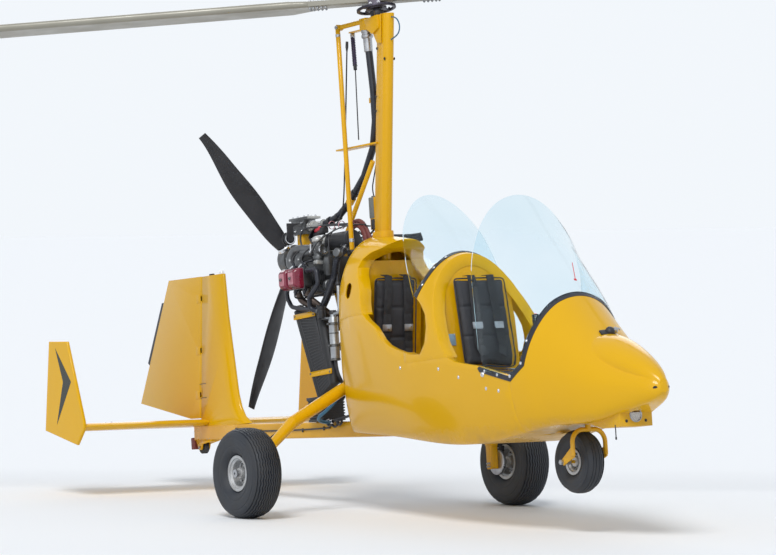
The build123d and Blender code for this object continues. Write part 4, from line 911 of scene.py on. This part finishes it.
# Nose fork: one bent steel tube over the wheel, painted yellow, with bare lugs welded on for the axle bolt
# and its nuts. A short black wire hangs from the chin in front of it.
dress(paint, "nose_fork")
tint("nose_fork", bare_metal, lambda f: abs(f.center.y) > 0.0985 and f.center.z < 0.17)
mesh = bmesh.new()
for side in (-1, 1):
    axle_end = facing(NOSE_AXLE, (0, side, 0)) @ Matrix.Translation((0, 0, 0.054))
    hex_nut(mesh, axle_end @ Vector((0, 0, 0.044)), (0, side, 0), 0.024, 0.011, 0.006)
    turned(mesh, [(0.008, 0.0), (0.0125, 0.0), (0.0125, 0.034), (0.008, 0.036)], axle_end, 20)
fit("fork_nuts", mesh, bare_metal, body="nose_fork_body")
mesh = bmesh.new()
turned(mesh, [(0.0, 0.0), (0.0028, 0.001), (0.0028, 0.055), (0.0045, 0.058), (0.0045, 0.068), (0, 0.070)],
       facing((1.913, -0.092, 0.297), (0, 0, -1)), 10)
fit("static_wire", mesh, satin_black)

# Tail: glass-fibre plank, fin and rudder in the pod's gelcoat, dark folded trim tab, a plain black stripe on
# each end plate, a lamp and its socket on the fin, covers over the hinges, and a red guard on the keel's end.
dress(gelcoat, "stabilizer", "end_plates", "fin", "rudder")
tab_grey = coating("tab_grey", (0.028, 0.034, 0.044), (0.05, 0.055, 0.065), 20.0, 0.5, 300.0, 0.4, 0.6, 0.04)
dress(tab_grey, "rudder_tab")
mesh = bmesh.new()
stripe = [(-2.012, 0.976), (-1.867, 0.789), (-2.038, 0.577), (-1.950, 0.795)]
for side in (-1, 1):
    cut_sheet(mesh, [(x, z * -side) for x, z in stripe], 0.0008,
              facing((0, side * 0.7878, 0), (0, side, 0), (1, 0, 0)))
stripe_black = coating("stripe_black", (0.012, 0.016, 0.010), (0.03, 0.035, 0.02), 12.0, 0.5, 300.0, 0.2,
                       0.35, 0.02)
fit("plate_stripes", mesh, stripe_black)
mesh = bmesh.new()
hinge_low, hinge_high = Vector((-1.868, 0, 0.565)), Vector((-1.771, 0, 1.314))
hinge_way = (hinge_high - hinge_low).normalized()
for z in (0.700, 0.930, 1.200):
    spot = hinge_low + hinge_way * ((z - 0.565) / hinge_way.z)
    for side in (-1, 1):
        cover = facing(spot + Vector((-0.016, side * 0.0274, 0)), (0, side, 0), (1, 0, 0))
        slab(mesh, (0.040, 0.044, 0.0016), cover, 0.0006)
fit("hinge_covers", mesh, gelcoat, body="rudder_body")
# Slots in the fin's sides drawn as thin black strips, a painted shade for their openings; with them the black
# lamp socket
mesh = bmesh.new()
for z in (0.681, 0.754):
    for side in (-1, 1):
        slab(mesh, (0.062, 0.0026, 0.0014), facing((-1.812, side * 0.0272, z), (0, side, 0), (1, 0, 0)))
slab(mesh, (0.030, 0.018, 0.012), Matrix.Translation((-1.700, 0, 1.3165)), 0.003)
fit("fin_slot_shade_and_socket", mesh, satin_black)
lamp_white = coating("lamp_white", (0.85, 0.86, 0.86), (0.7, 0.72, 0.72), 60.0, 0.4, 300.0, 0.08, 0.15, 0.01,
                     coat=0.5)
mesh = bmesh.new()
turned(mesh, [(0.014, -0.004), (0.014, 0.006), (0.012, 0.014), (0.007, 0.019), (0, 0.0205)],
       facing((-1.600, 0, 1.312), (0, 0, 1)), 24)
fit("fin_lamp", mesh, lamp_white)
guard_red = coating("guard_red", (0.22, 0.035, 0.025), (0.11, 0.03, 0.022), 14.0, 0.6, 260.0, 0.4, 0.6, 0.05)
mesh = bmesh.new()
slab(mesh, (0.040, 0.0585, 0.061), Matrix.Translation((-1.9435, 0, 0.449)), 0.004)
fit("keel_guard", mesh, guard_red)
dress(paint, "tail_skid")
mesh, line = bmesh.new(), bmesh.new()
for side in (-1, 1):
    hex_nut(mesh, (-1.88, side * 0.026, 0.424), (0, side, 0), 0.014, 0.006, 0.003)
    for x in (-1.80, -1.775):
        screw(mesh, (x, side * 0.026, 0.466), (0, side, 0), 0.005, 0.003)
for x, y, z in ((-1.80, -0.60, 0.5705), (-1.86, -0.60, 0.5705), (-1.92, -0.70, 0.5705),
                (-2.05, -0.70, 0.5594), (-2.12, -0.70, 0.55555)):
    screw(mesh, (x, y, z), (0, 0, 1), 0.004, 0.002)
run = [(-0.60, -0.034, 0.445), (-0.80, -0.034, 0.449), (-1.10, -0.034, 0.462), (-1.40, -0.034, 0.478),
       (-1.50, -0.034, 0.50)]
tubing(line, run, 0.0045)
for x in (-0.66, -0.86, -1.06, -1.26):
    slab(line, (0.010, 0.006, 0.020), Matrix.Translation((x, -0.0325, 0.446 + max(0, -x - 0.8) * 0.05)),
         0.001)
fit("tail_screws", mesh, bare_metal)
fit("keel_line", line, satin_black)
mesh = bmesh.new()
for k, (x, z, r) in enumerate(((-0.585, 0.468, 0.026), (-0.530, 0.462, 0.030), (-0.480, 0.465, 0.022))):
    tubing(mesh, [(x + r * math.cos(a), -0.043 - 0.005 * k + 0.004 * math.sin(a * 2),
                   z + r * 0.55 * math.sin(a)) for a in [0.52 * n for n in range(13)]], 0.006)
tubing(mesh, [(-0.62, -0.040, 0.470), (-0.60, -0.045, 0.48), (-0.56, -0.05, 0.475), (-0.50, -0.05, 0.480),
              (-0.42, -0.045, 0.490), (-0.34, -0.040, 0.50)], 0.007)
fit("keel_coil", mesh, satin_black)
mesh = bmesh.new()
turned(mesh, [(0.008, -0.012), (0.011, -0.012), (0.012, -0.008), (0.012, 0.008), (0.011, 0.012),
              (0.008, 0.012)], facing((-0.548, -0.054, 0.474), (1, 0, 0)), 20)
band(mesh, (-0.590, -0.050, 0.478), (1, 0, 0), 0.008, 0.011, 0.006, 20)
fit("coil_ferrules", mesh, bright_screw)


def smooth_route(points, bend, step=0.006):
    """Runs between points joined by arcs, as a close row of points."""
    points = [Vector(p) for p in points]
    row = [points[0]]
    for before, corner, after in zip(points, points[1:], points[2:]):
        a, b = (before - corner).normalized(), (after - corner).normalized()
        half = a.angle(b) / 2
        reach = min(bend / math.tan(half), (before - corner).length * 0.49, (after - corner).length * 0.49)
        radius = reach * math.tan(half)
        middle = corner + (a + b).normalized() * (radius / math.sin(half))
        first, last = corner + a * reach - middle, corner + b * reach - middle
        turn = first.angle(last)
        for k in range(9):
            reached = first * math.sin(turn * (1 - k / 8)) + last * math.sin(turn * k / 8)
            row.append(middle + reached / math.sin(turn))
    row.append(points[-1])
    fine = [row[0]]
    for p in row[1:]:
        while (p - fine[-1]).length > step:
            fine.append(fine[-1] + (p - fine[-1]).normalized() * step)
    return fine


# Engine core: flat four of dark cast alloy with finned barrels. Each head wears a maroon rocker cover with
# a pale raised face, held by its centre bolt; plugs, leads and water lines run over and under the cylinders.
dress(casting, "engine_block", "gearbox", "oil_cooler", edge=0.002)
maroon = coating("maroon", (0.20, 0.006, 0.030), (0.10, 0.004, 0.018), 20.0, 0.5, 260.0, 0.18, 0.32, 0.03,
                 coat=0.35)
dress(maroon, "valve_covers", edge=0.005)
worn_pink = coating("worn_pink", (0.55, 0.27, 0.30), (0.34, 0.06, 0.10), 60.0, 0.8, 300.0, 0.25, 0.45, 0.05,
                    metallic=0.3)
dark_alloy = coating("dark_alloy", (0.16, 0.165, 0.17), (0.07, 0.07, 0.07), 30.0, 0.6, 300.0, 0.35, 0.55, 0.1,
                     metallic=0.75)
faces, bolts, leads, boots, lines = (bmesh.new() for _ in range(5))
for side in (-1, 1):
    for x in (-0.494, -0.578):
        at = facing((x, side * 0.2835, 1.193), (0, side, 0), (1, 0, 0))
        slab(faces, (0.044, 0.062, 0.0034), at, 0.001, 0.9)
        for k in (-1, 1):
            slab(faces, (0.036, 0.0035, 0.0050), at @ Matrix.Translation((0, 0.012 * k, 0)), 0.001)
        cut_sheet(faces, [(-0.012, -0.006), (0.012, -0.006), (0.0, 0.008)], 0.004, at)
        turned(bolts, [(0.008, 0.0), (0.008, 0.006), (0.006, 0.008), (0.003, 0.008), (0.003, 0.005),
                       (0, 0.005)], at @ Matrix.Translation((0, 0.0, 0.002)), 12)
        slab(bolts, (0.084, 0.1085, 0.004), facing((x, side * 0.2285, 1.193), (0, side, 0), (1, 0, 0)),
             0.0015)
        for dx in (-0.031, 0.031):
            for dz in (-0.042, 0.042):
                hex_nut(bolts, (x + dx, side * 0.226, 1.195 + dz), (0, side, 0), 0.009, 0.005, 0.003)
        for dz in (0.050, -0.050):
            out = Vector((0, side * 0.45, 1 if dz > 0 else -1)).normalized()
            foot = Vector((x + 0.018, side * 0.206, 1.195 + dz))
            turned(boots, [(0.0085, -0.006), (0.0085, 0.012), (0.0065, 0.016), (0.0065, 0.032),
                           (0.004, 0.036), (0, 0.036)], facing(foot, out), 14)
            tip = foot + out * 0.034
            if dz > 0:
                run = [tip, tip + out * 0.03, Vector((x + 0.02, side * 0.14, 1.36)),
                       Vector((-0.52, side * 0.05, 1.350)), Vector((-0.53, side * 0.03, 1.330))]
            else:
                run = [tip, tip + out * 0.02, Vector((x + 0.03, side * 0.13, 1.10)),
                       Vector((-0.36, side * 0.10, 1.12)), Vector((-0.35, side * 0.05, 1.25)),
                       Vector((-0.42, side * 0.03, 1.325))]
            tubing(leads, run, 0.0042)
        tubing(lines, [(x - 0.02, side * 0.20, 1.247), (x - 0.03, side * 0.19, 1.275),
                       (x + 0.02, side * 0.13, 1.285), (x + 0.05, side * 0.08, 1.287)], 0.0055)
    tubing(lines, [(-0.42, side * 0.196, 1.150), (-0.40, side * 0.17, 1.115), (-0.36, side * 0.10, 1.105),
                   (-0.345, side * 0.04, 1.13)], 0.006)
for x, y in ((-0.36, 0.055), (-0.44, 0.060), (-0.52, 0.058), (-0.60, 0.060), (-0.67, 0.055)):
    for side in (-1, 1):
        hex_nut(bolts, (x, side * y, 1.2865), (0, 0, 1), 0.013, 0.007, 0.005)
slab(leads, (0.120, 0.090, 0.030), Matrix.Translation((-0.500, 0, 1.318)), 0.006)
slab(leads, (0.070, 0.050, 0.020), Matrix.Translation((-0.610, 0, 1.300)), 0.005)
fit("cover_faces", faces, worn_pink)
fit("engine_bolts", bolts, dark_alloy)
fit("plug_leads", leads, satin_black)
fit("plug_boots", boots, trim_rubber)
fit("water_lines", lines, trim_rubber)
# Starter ring cover, fuel pump and alternator stand out from the front and the side of the case
mesh = bmesh.new()
turned(mesh, [(0.0, 0.0), (0.03, 0.0), (0.034, -0.004), (0.056, -0.004), (0.060, 0.004), (0.066, 0.004),
              (0.066, -0.016)], facing((-0.309, 0, 1.191), (1, 0, 0)), 40)
for k in range(8):
    a = k * math.tau / 8
    hex_nut(mesh, (-0.3145, 0.045 * math.cos(a), 1.191 + 0.045 * math.sin(a)), (1, 0, 0), 0.009, 0.005, 0.002)
turned(mesh, [(0.0, -0.05), (0.026, -0.05), (0.026, 0.03), (0.022, 0.036), (0.022, 0.046), (0.012, 0.05),
              (0, 0.05)], facing((-0.40, -0.112, 1.255), (0.35, -0.25, 0.9)), 28)
turned(mesh, [(0.0, -0.04), (0.030, -0.04), (0.030, -0.02), (0.026, -0.016), (0.026, 0.02), (0.030, 0.024),
              (0.030, 0.04), (0, 0.04)], facing((-0.386, -0.108, 1.150), (1, 0, 0)), 28)
fit("pump_and_alternator", mesh, dark_alloy)

# Induction: black cloth-filled can with a pale end cap, twin carburettors with chrome dashpots and levers,
# and grey cast arcs clamped between them and the heads.
cast_grey = coating("cast_grey", (0.15, 0.155, 0.16), (0.075, 0.075, 0.08), 26.0, 0.5, 280.0, 0.3, 0.5, 0.08,
                    metallic=0.65)
dress(satin_black, "air_box")
dress(dark_alloy, "carburettors")
dress(cast_grey, "intake_pipes", edge=0)
pale_alloy = coating("pale_alloy", (0.50, 0.50, 0.48), (0.34, 0.34, 0.33), 24.0, 0.5, 300.0, 0.35, 0.5, 0.05,
                     metallic=0.5)
caps, clamps, black, red = (bmesh.new() for _ in range(4))
turned(caps, [(0.0, 0.016), (0.030, 0.016), (0.037, 0.013), (0.041, 0.006), (0.0458, 0.002), (0.0458, -0.030),
              (0.043, -0.034)], facing((-0.470, -0.062, 1.368), (-1, 0, 0)), 40)
turned(caps, [(0.0, 0.0), (0.008, 0.0), (0.008, 0.006), (0, 0.007)],
       facing((-0.486, -0.062, 1.368), (-1, 0, 0)), 16)
slab(caps, (0.10, 0.06, 0.004), Matrix.Translation((-0.40, -0.062, 1.3215)), 0.001)
for side in (-1, 1):
    y = side * 0.150
    turned(caps, [(0.025, -0.004), (0.028, 0.0), (0.028, 0.010), (0.022, 0.020), (0.010, 0.025),
                  (0.0, 0.026)], facing((-0.430, y, 1.374), (0, 0, 1)), 28)
    slab(caps, (0.036, 0.044, 0.022), Matrix.Translation((-0.430, y, 1.268)), 0.005)
    for x in (-0.474, -0.384):
        turned(clamps, [(0.0245, -0.006), (0.0262, -0.006), (0.0262, 0.006), (0.0245, 0.006), (0.0240, 0.0),
                        (0.0245, -0.006)], facing((x + 0.006, y, 1.330), (1, 0, 0)), 28)
    rod_at = facing((-0.436, y + side * 0.018, 1.330), (0, side, 0), (1, 0, 0))
    turned(clamps, [(0.0, 0.0), (0.006, 0.0), (0.006, 0.022), (0, 0.022)], rod_at, 12)
    cut_sheet(clamps, [(-0.006, -0.006), (0.006, -0.006), (0.008, 0.03), (-0.002, 0.032)], 0.003,
              rod_at @ Matrix.Translation((0, 0, 0.020)))
    tubing(black, [(-0.432, y + side * 0.04, 1.302), (-0.40, y + side * 0.045, 1.35),
                   (-0.34, side * 0.15, 1.40), (-0.24, side * 0.09, 1.44), (-0.16, side * 0.03, 1.43)],
           0.0035)
    for (x, z), (dx, dz) in (((-0.584, 1.237), (-0.5, 0.8)), ((-0.500, 1.237), (-0.7, 0.7))):
        band(clamps, (x - 0.012 * abs(dx), side * 0.193, z + 0.014), (dx, 0, dz), 0.0205, 0.027, 0.004)
fit("carburettor_caps", caps, pale_alloy)
fit("induction_clamps", clamps, bright_screw)
# Ignition coils with red caps, the cable bundle over the can with its ties, two red-brown hoses to the mast
ties = bmesh.new()
for x in (-0.505, -0.470):
    turned(red, [(0.0, 0.0), (0.013, 0.0), (0.0135, 0.004), (0.0135, 0.030), (0.010, 0.036), (0, 0.036)],
           facing((x - 0.018, -0.095 - (x + 0.505) * 0.4, 1.436), (1, 0.05, 0.1)), 20)
slab(black, (0.050, 0.040, 0.030), Matrix.Translation((-0.455, -0.098, 1.430)), 0.005)
slab(black, (0.085, 0.030, 0.016), Matrix.Translation((-0.505, -0.092, 1.418)), 0.003)
for k in range(5):
    spread = 0.008 * (k - 2)
    run = [(-0.56, -0.10 + spread, 1.400), (-0.530, -0.105 + spread, 1.440 + 0.003 * k),
           (-0.46, -0.10 + spread * 0.4, 1.452 + 0.004 * (k % 2)),
           (-0.38, -0.07 + spread * 0.5, 1.448 + 0.004 * (k % 3)),
           (-0.28, -0.055 + spread * 0.4, 1.436 + 0.003 * k), (-0.20, -0.04 + spread * 0.5, 1.430),
           (-0.145, -0.02 + spread * 0.3, 1.420)]
    tubing(black, run, 0.0038)
tubing(black, [(-0.465, -0.115, 1.445), (-0.52, -0.150, 1.455), (-0.565, -0.165, 1.425),
               (-0.560, -0.165, 1.36), (-0.520, -0.160, 1.315), (-0.48, -0.14, 1.29)], 0.0045)
tubing(black, [(-0.33, -0.10, 1.43), (-0.345, -0.135, 1.40), (-0.33, -0.15, 1.33), (-0.345, -0.14, 1.25)],
       0.004)
for x, z in ((-0.42, 1.452), (-0.33, 1.444), (-0.24, 1.436)):
    turned(ties, [(0.019, -0.003), (0.021, -0.003), (0.021, 0.003), (0.019, 0.003), (0.019, -0.003)],
           facing((x, -0.065, z), (1, 0.1, -0.1)), 20)
cap_red = coating("cap_red", (0.60, 0.02, 0.04), (0.35, 0.01, 0.02), 60.0, 0.4, 400.0, 0.25, 0.4, 0.03)
fit("ignition_caps", red, cap_red)
fit("cable_ties", ties, worn_pink)
fit("engine_cables", black, satin_black)
hose_brown = coating("hose_brown", (0.16, 0.035, 0.030), (0.08, 0.02, 0.02), 30.0, 0.5, 500.0, 0.4, 0.6, 0.05)
mesh = bmesh.new()
for y, grow in ((-0.045, 0.0), (-0.030, 0.022)):
    tubing(mesh, [(-0.288 - grow, y, 1.405 + grow), (-0.255 - grow, y, 1.432 + grow),
                  (-0.205, y, 1.432 + grow), (-0.165, y, 1.40 + grow * 0.5), (-0.145 + grow, y, 1.34),
                  (-0.142 + grow, y, 1.30)], 0.0125, 12)
fit("heater_hoses", mesh, hose_brown)

# Cooling and oil: corrugated duct and rubber S-hoses with their clips, finned radiators in black frames
# strapped to the mount, silver canister in two bands, and a small ribbed oil cooler low down.
dress(trim_rubber, "coolant_hoses", edge=0)
radiator_black = coating("radiator_black", (0.008, 0.009, 0.011), (0.022, 0.022, 0.024), 30.0, 0.6, 160.0,
                         0.4, 0.65, 0.4, relief=0.0012)
core = radiator_black.node_tree
fins = core.nodes.new("ShaderNodeTexWave")
fins.bands_direction = "Z"
fins.inputs["Scale"].default_value = 90.0
feed(core, fins.inputs["Vector"], own_place(core))
feed(core, core.nodes["Bump"].inputs["Height"], fins.outputs["Fac"])
dress(radiator_black, "radiators")
dress(paint, "radiator_straps", "engine_mount")
tank_silver = coating("tank_silver", (0.42, 0.44, 0.46), (0.24, 0.25, 0.26), 18.0, 0.5, 300.0, 0.3, 0.45,
                      0.04, metallic=0.8)
exhaust_brown = coating("exhaust_brown", (0.13, 0.10, 0.085), (0.06, 0.045, 0.04), 14.0, 0.8, 240.0, 0.4, 0.6,
                        0.12, metallic=0.7)
dress(tank_silver, "oil_tank")
tint("oil_tank", satin_black, lambda f: f.center.x < -0.356)
dress(exhaust_brown, "exhaust", edge=0)
ribs, clips, black, cores = (bmesh.new() for _ in range(4))
duct_route = [(-0.262, -0.090, 1.334), (-0.264, -0.150, 1.264), (-0.292, -0.152, 1.178),
              (-0.385, -0.150, 1.075), (-0.440, -0.150, 1.022)]
duct = smooth_route(duct_route, 0.05, 0.0075)
for here, there in zip(duct[2:-2], duct[3:-1]):
    turned(ribs, [(0.0155, -0.0032), (0.0185, -0.0012), (0.0185, 0.0012), (0.0155, 0.0032)],
           facing(here, there - here), 16)
# Hose route, its bends' radius, the hose's own radius
for route, bend, r in (
    ([(-0.452, -0.214, 1.226), (-0.342, -0.224, 1.228), (-0.332, -0.224, 1.150), (-0.424, -0.222, 1.092),
      (-0.440, -0.214, 1.036), (-0.372, -0.186, 1.010)], 0.026, 0.012),
    ([(-0.612, -0.200, 1.164), (-0.702, -0.192, 1.146), (-0.650, -0.186, 1.062), (-0.560, -0.184, 1.044),
      (-0.396, -0.182, 1.030)], 0.04, 0.011),
    (duct_route, 0.05, 0.0175),
    ([(-0.452, 0.214, 1.226), (-0.342, 0.224, 1.228), (-0.332, 0.224, 1.150), (-0.424, 0.222, 1.092),
      (-0.440, 0.150, 1.022)], 0.026, 0.012),
):
    fine = smooth_route(route, bend)
    for here, there in ((fine[3], fine[4]), (fine[-5], fine[-6])):
        at = facing(here, there - here)
        turned(clips, [(r, -0.0045), (r + 0.0016, -0.0045), (r + 0.0016, 0.0045), (r, 0.0045),
                       (r - 0.001, 0.0), (r, -0.0045)], at, 20)
        slab(clips, (0.010, 0.006, 0.009), at @ Matrix.Translation((r + 0.004, 0, 0)), 0.001)
fit("duct_ribs", ribs, trim_rubber)
# Side frames and cross rails of each core stand proud of its fins; an edge has its top and its foot
edges = ((Vector((-0.612, 0, 1.018)), Vector((-0.452, 0, 0.610))),
         (Vector((-0.458, 0, 1.002)), Vector((-0.364, 0, 0.662))))
for side in (-1, 1):
    turned(cores, [(0.0, 0.020), (0.012, 0.020), (0.021, 0.016), (0.021, 0.004), (0.016, 0.0),
                   (0.016, -0.02)], facing((-0.632, side * 0.149, 1.048), (-0.129, 0, 1)), 24)
    slab(cores, (0.020, 0.006, 0.006), Matrix.Translation((-0.632, side * 0.149, 1.067)), 0.001)
    for top, foot in edges:
        mid = (top + foot) / 2 + Vector((0, side * 0.1722, 0))
        slab(cores, ((foot - top).length, 0.007, 0.004), facing(mid, (0, side, 0), foot - top), 0.001)
    for k in range(26):
        a, b = (top.lerp(foot, (k + 0.5) / 26) for top, foot in edges)
        mid = (a + b) / 2 + Vector((0, side * 0.1718, 0))
        slab(cores, ((b - a).length, 0.0045, 0.002), facing(mid, (0, side, 0), b - a))
    for z, x0, x1 in ((0.995, -0.653, -0.456), (0.698, -0.538, -0.336)):
        for x in (x0 + 0.012, x1 - 0.012):
            screw(clips, (x, side * 0.178, z + 0.016), (0, side, 0), 0.004, 0.002)
fit("radiator_frames", cores, satin_black)
for z in (0.842, 0.950):
    slab(clips, (0.016, 0.014, 0.010), Matrix.Translation((-0.330, -0.179, z)), 0.002)
    turned(clips, [(0.0262, -0.007), (0.0272, -0.006), (0.0272, 0.006), (0.0262, 0.007)],
           facing((-0.330, -0.150, z), (0, 0, 1)), 32)
turned(clips, [(0.022, 0.0), (0.0255, 0.002), (0.0255, 0.012), (0.022, 0.014)],
       facing((-0.330, -0.150, 0.766), (0, 0, 1)), 32)
turned(clips, [(0.0245, 0.0), (0.0252, 0.003), (0.0245, 0.006)],
       facing((-0.330, -0.150, 0.900), (0, 0, 1)), 32)
# Screw caps: place, steps round, outline
for place, steps, outline in (
    ((-0.384, -0.182, 1.034), 24, [(0.0, 0.012), (0.014, 0.012), (0.0225, 0.008), (0.0225, -0.006),
                                   (0.0205, -0.010)]),
    ((-0.330, -0.150, 1.000), 24, [(0.0, 0.018), (0.016, 0.018), (0.0185, 0.014), (0.0185, 0.0),
                                   (0.0155, -0.002)]),
    ((-0.267, -0.150, 1.140), 20, [(0.0, 0.014), (0.012, 0.014), (0.014, 0.010), (0.014, 0.0),
                                   (0.010, -0.004)]),
):
    turned(black, outline, facing(place, (0, 0, 1)), steps)
tubing(black, [(-0.330, -0.150, 0.768), (-0.330, -0.150, 0.72), (-0.320, -0.13, 0.66), (-0.345, -0.09, 0.62)],
       0.009)
tubing(black, [(-0.267, -0.150, 1.150), (-0.270, -0.145, 1.20), (-0.30, -0.12, 1.23), (-0.35, -0.10, 1.24)],
       0.007)
turned(clips, [(0.0, 0.008), (0.016, 0.008), (0.022, 0.004), (0.024, -0.004), (0.024, -0.020)],
       facing((-0.245, -0.160, 1.300), (0.3, -0.9, 0.2)), 24)
for side in (-1, 1):
    for x in (-0.494, -0.578):
        band(clips, (x, side * 0.190, 1.136), (0, side * 0.37, 0.93), 0.0175, 0.023, 0.005, 20)
    band(clips, (-0.405, side * 0.06, 0.962), (0, 1, 0), 0.0405, 0.043, 0.004, 36)
fit("hose_clips", clips, dark_alloy)
fit("caps_and_lines", black, satin_black)
# Cooler fins across its front and back faces
mesh = bmesh.new()
for k in range(9):
    for x in (-0.7415, -0.6085):
        slab(mesh, (0.004, 0.128, 0.003), Matrix.Translation((x, 0, 0.494 + 0.0125 * k)))
for y in (-0.071, 0.071):
    slab(mesh, (0.136, 0.005, 0.014), Matrix.Translation((-0.675, y, 0.598)), 0.001)
fit("cooler_fins", mesh, satin_black)

# Prerotator drive on the gearbox: dark steel bracket, silver starter can, belt pulley with a bright rim.
# Behind it the propeller: three black blades clamped in a split alloy hub by a ring of bolts.
dress(dark_alloy, "prerotator_drive")
tint("prerotator_drive", pale_alloy, lambda f: f.center.x > -0.722 and f.center.z > 1.44)
tint("prerotator_drive", satin_black, lambda f: f.center.y < -0.060)
dress(satin_black, "propeller_blades")
dress(dark_alloy, "propeller_hub")
mesh, black = bmesh.new(), bmesh.new()
turned(mesh, [(0.0245, -0.001), (0.0245, 0.004), (0.029, 0.004), (0.030, -0.001)],
       facing((-0.7565, -0.104, 1.418), (1, 0, 0)), 40)
turned(mesh, [(0.010, 0.0), (0.010, 0.010), (0.006, 0.012), (0.0, 0.012)],
       facing((-0.7565, -0.104, 1.418), (1, 0, 0)), 24)
for y in (-0.022, 0.022):
    for x in (-0.845, -0.80, -0.74, -0.70):
        hex_nut(mesh, (x, y, 1.524), (0, 0, 1), 0.012, 0.007, 0.004)
for z in (1.455, 1.495):
    for x in (-0.825, -0.745):
        hex_nut(mesh, (x, -0.034, z), (0, -1, 0), 0.010, 0.006, 0.003)
for x, r in ((-0.712, 0.0272), (-0.688, 0.0272), (-0.60, 0.0242), (-0.592, 0.0242)):
    band(mesh, (x, 0, 1.474), (1, 0, 0), r, r + 0.0014, 0.002, 28)
for y, z in ((-0.07, 1.18), (0.07, 1.18), (-0.075, 1.27), (0.075, 1.27), (0.0, 1.14)):
    hex_nut(mesh, (-0.7, y * 1.02, z), (-0.3, y * 6, 0), 0.012, 0.006, 0.004)
fit("drive_bolts", mesh, bright_screw)
lower, upper = (0.95, 0.15, 0.28), (0.76, 0.03, 0.60)
for place, out, r in (((-0.540, 0.0055, 1.4825), lower, 0.024), ((-0.480, 0.016, 1.500), lower, 0.0215),
                      ((-0.345, 0.0345, 1.604), upper, 0.0215), ((-0.425, 0.030, 1.540), upper, 0.0215)):
    band(black, place, out, 0.018, r, 0.008)
tubing(black, [(-0.62, -0.03, 1.46), (-0.64, -0.06, 1.43), (-0.60, -0.08, 1.38), (-0.55, -0.07, 1.34)], 0.006)
fit("shaft_clips", black, satin_black)
mesh = bmesh.new()
band(mesh, (-0.3835, 0.0345, 1.573), (0.78, 0, 0.62), 0.0186, 0.0215, 0.018)
fit("shaft_marker", mesh, paint)
PROP_Z, HUB_BACK, HUB_FRONT = 1.322, -0.936, -0.874
mesh = bmesh.new()
for k in range(6):
    a = math.radians(30 + 60 * k)
    spot = (HUB_BACK, 0.034 * math.cos(a), PROP_Z + 0.034 * math.sin(a))
    hex_nut(mesh, spot, (-1, 0, 0), 0.013, 0.009, 0.004)
    for x, way in ((HUB_BACK, -1), (HUB_FRONT, 1)):
        spot = (x, 0.060 * math.cos(a + 0.52), PROP_Z + 0.060 * math.sin(a + 0.52))
        hex_nut(mesh, spot, (way, 0, 0), 0.011, 0.007, 0.003)
turned(mesh, [(0.0, 0.010), (0.016, 0.010), (0.020, 0.006), (0.020, 0.0)],
       facing((HUB_BACK, 0, PROP_Z), (-1, 0, 0)), 32)
for k in range(3):
    a = math.radians(38 + 120 * k)
    out = Vector((0, -math.sin(a), math.cos(a)))
    root = Vector((-0.905, 0, PROP_Z)) + out * 0.074
    turned(mesh, [(0.034, -0.010), (0.038, -0.006), (0.038, 0.006), (0.032, 0.012)], facing(root, out), 28)
fit("propeller_bolts", mesh, bright_screw, body="propeller")
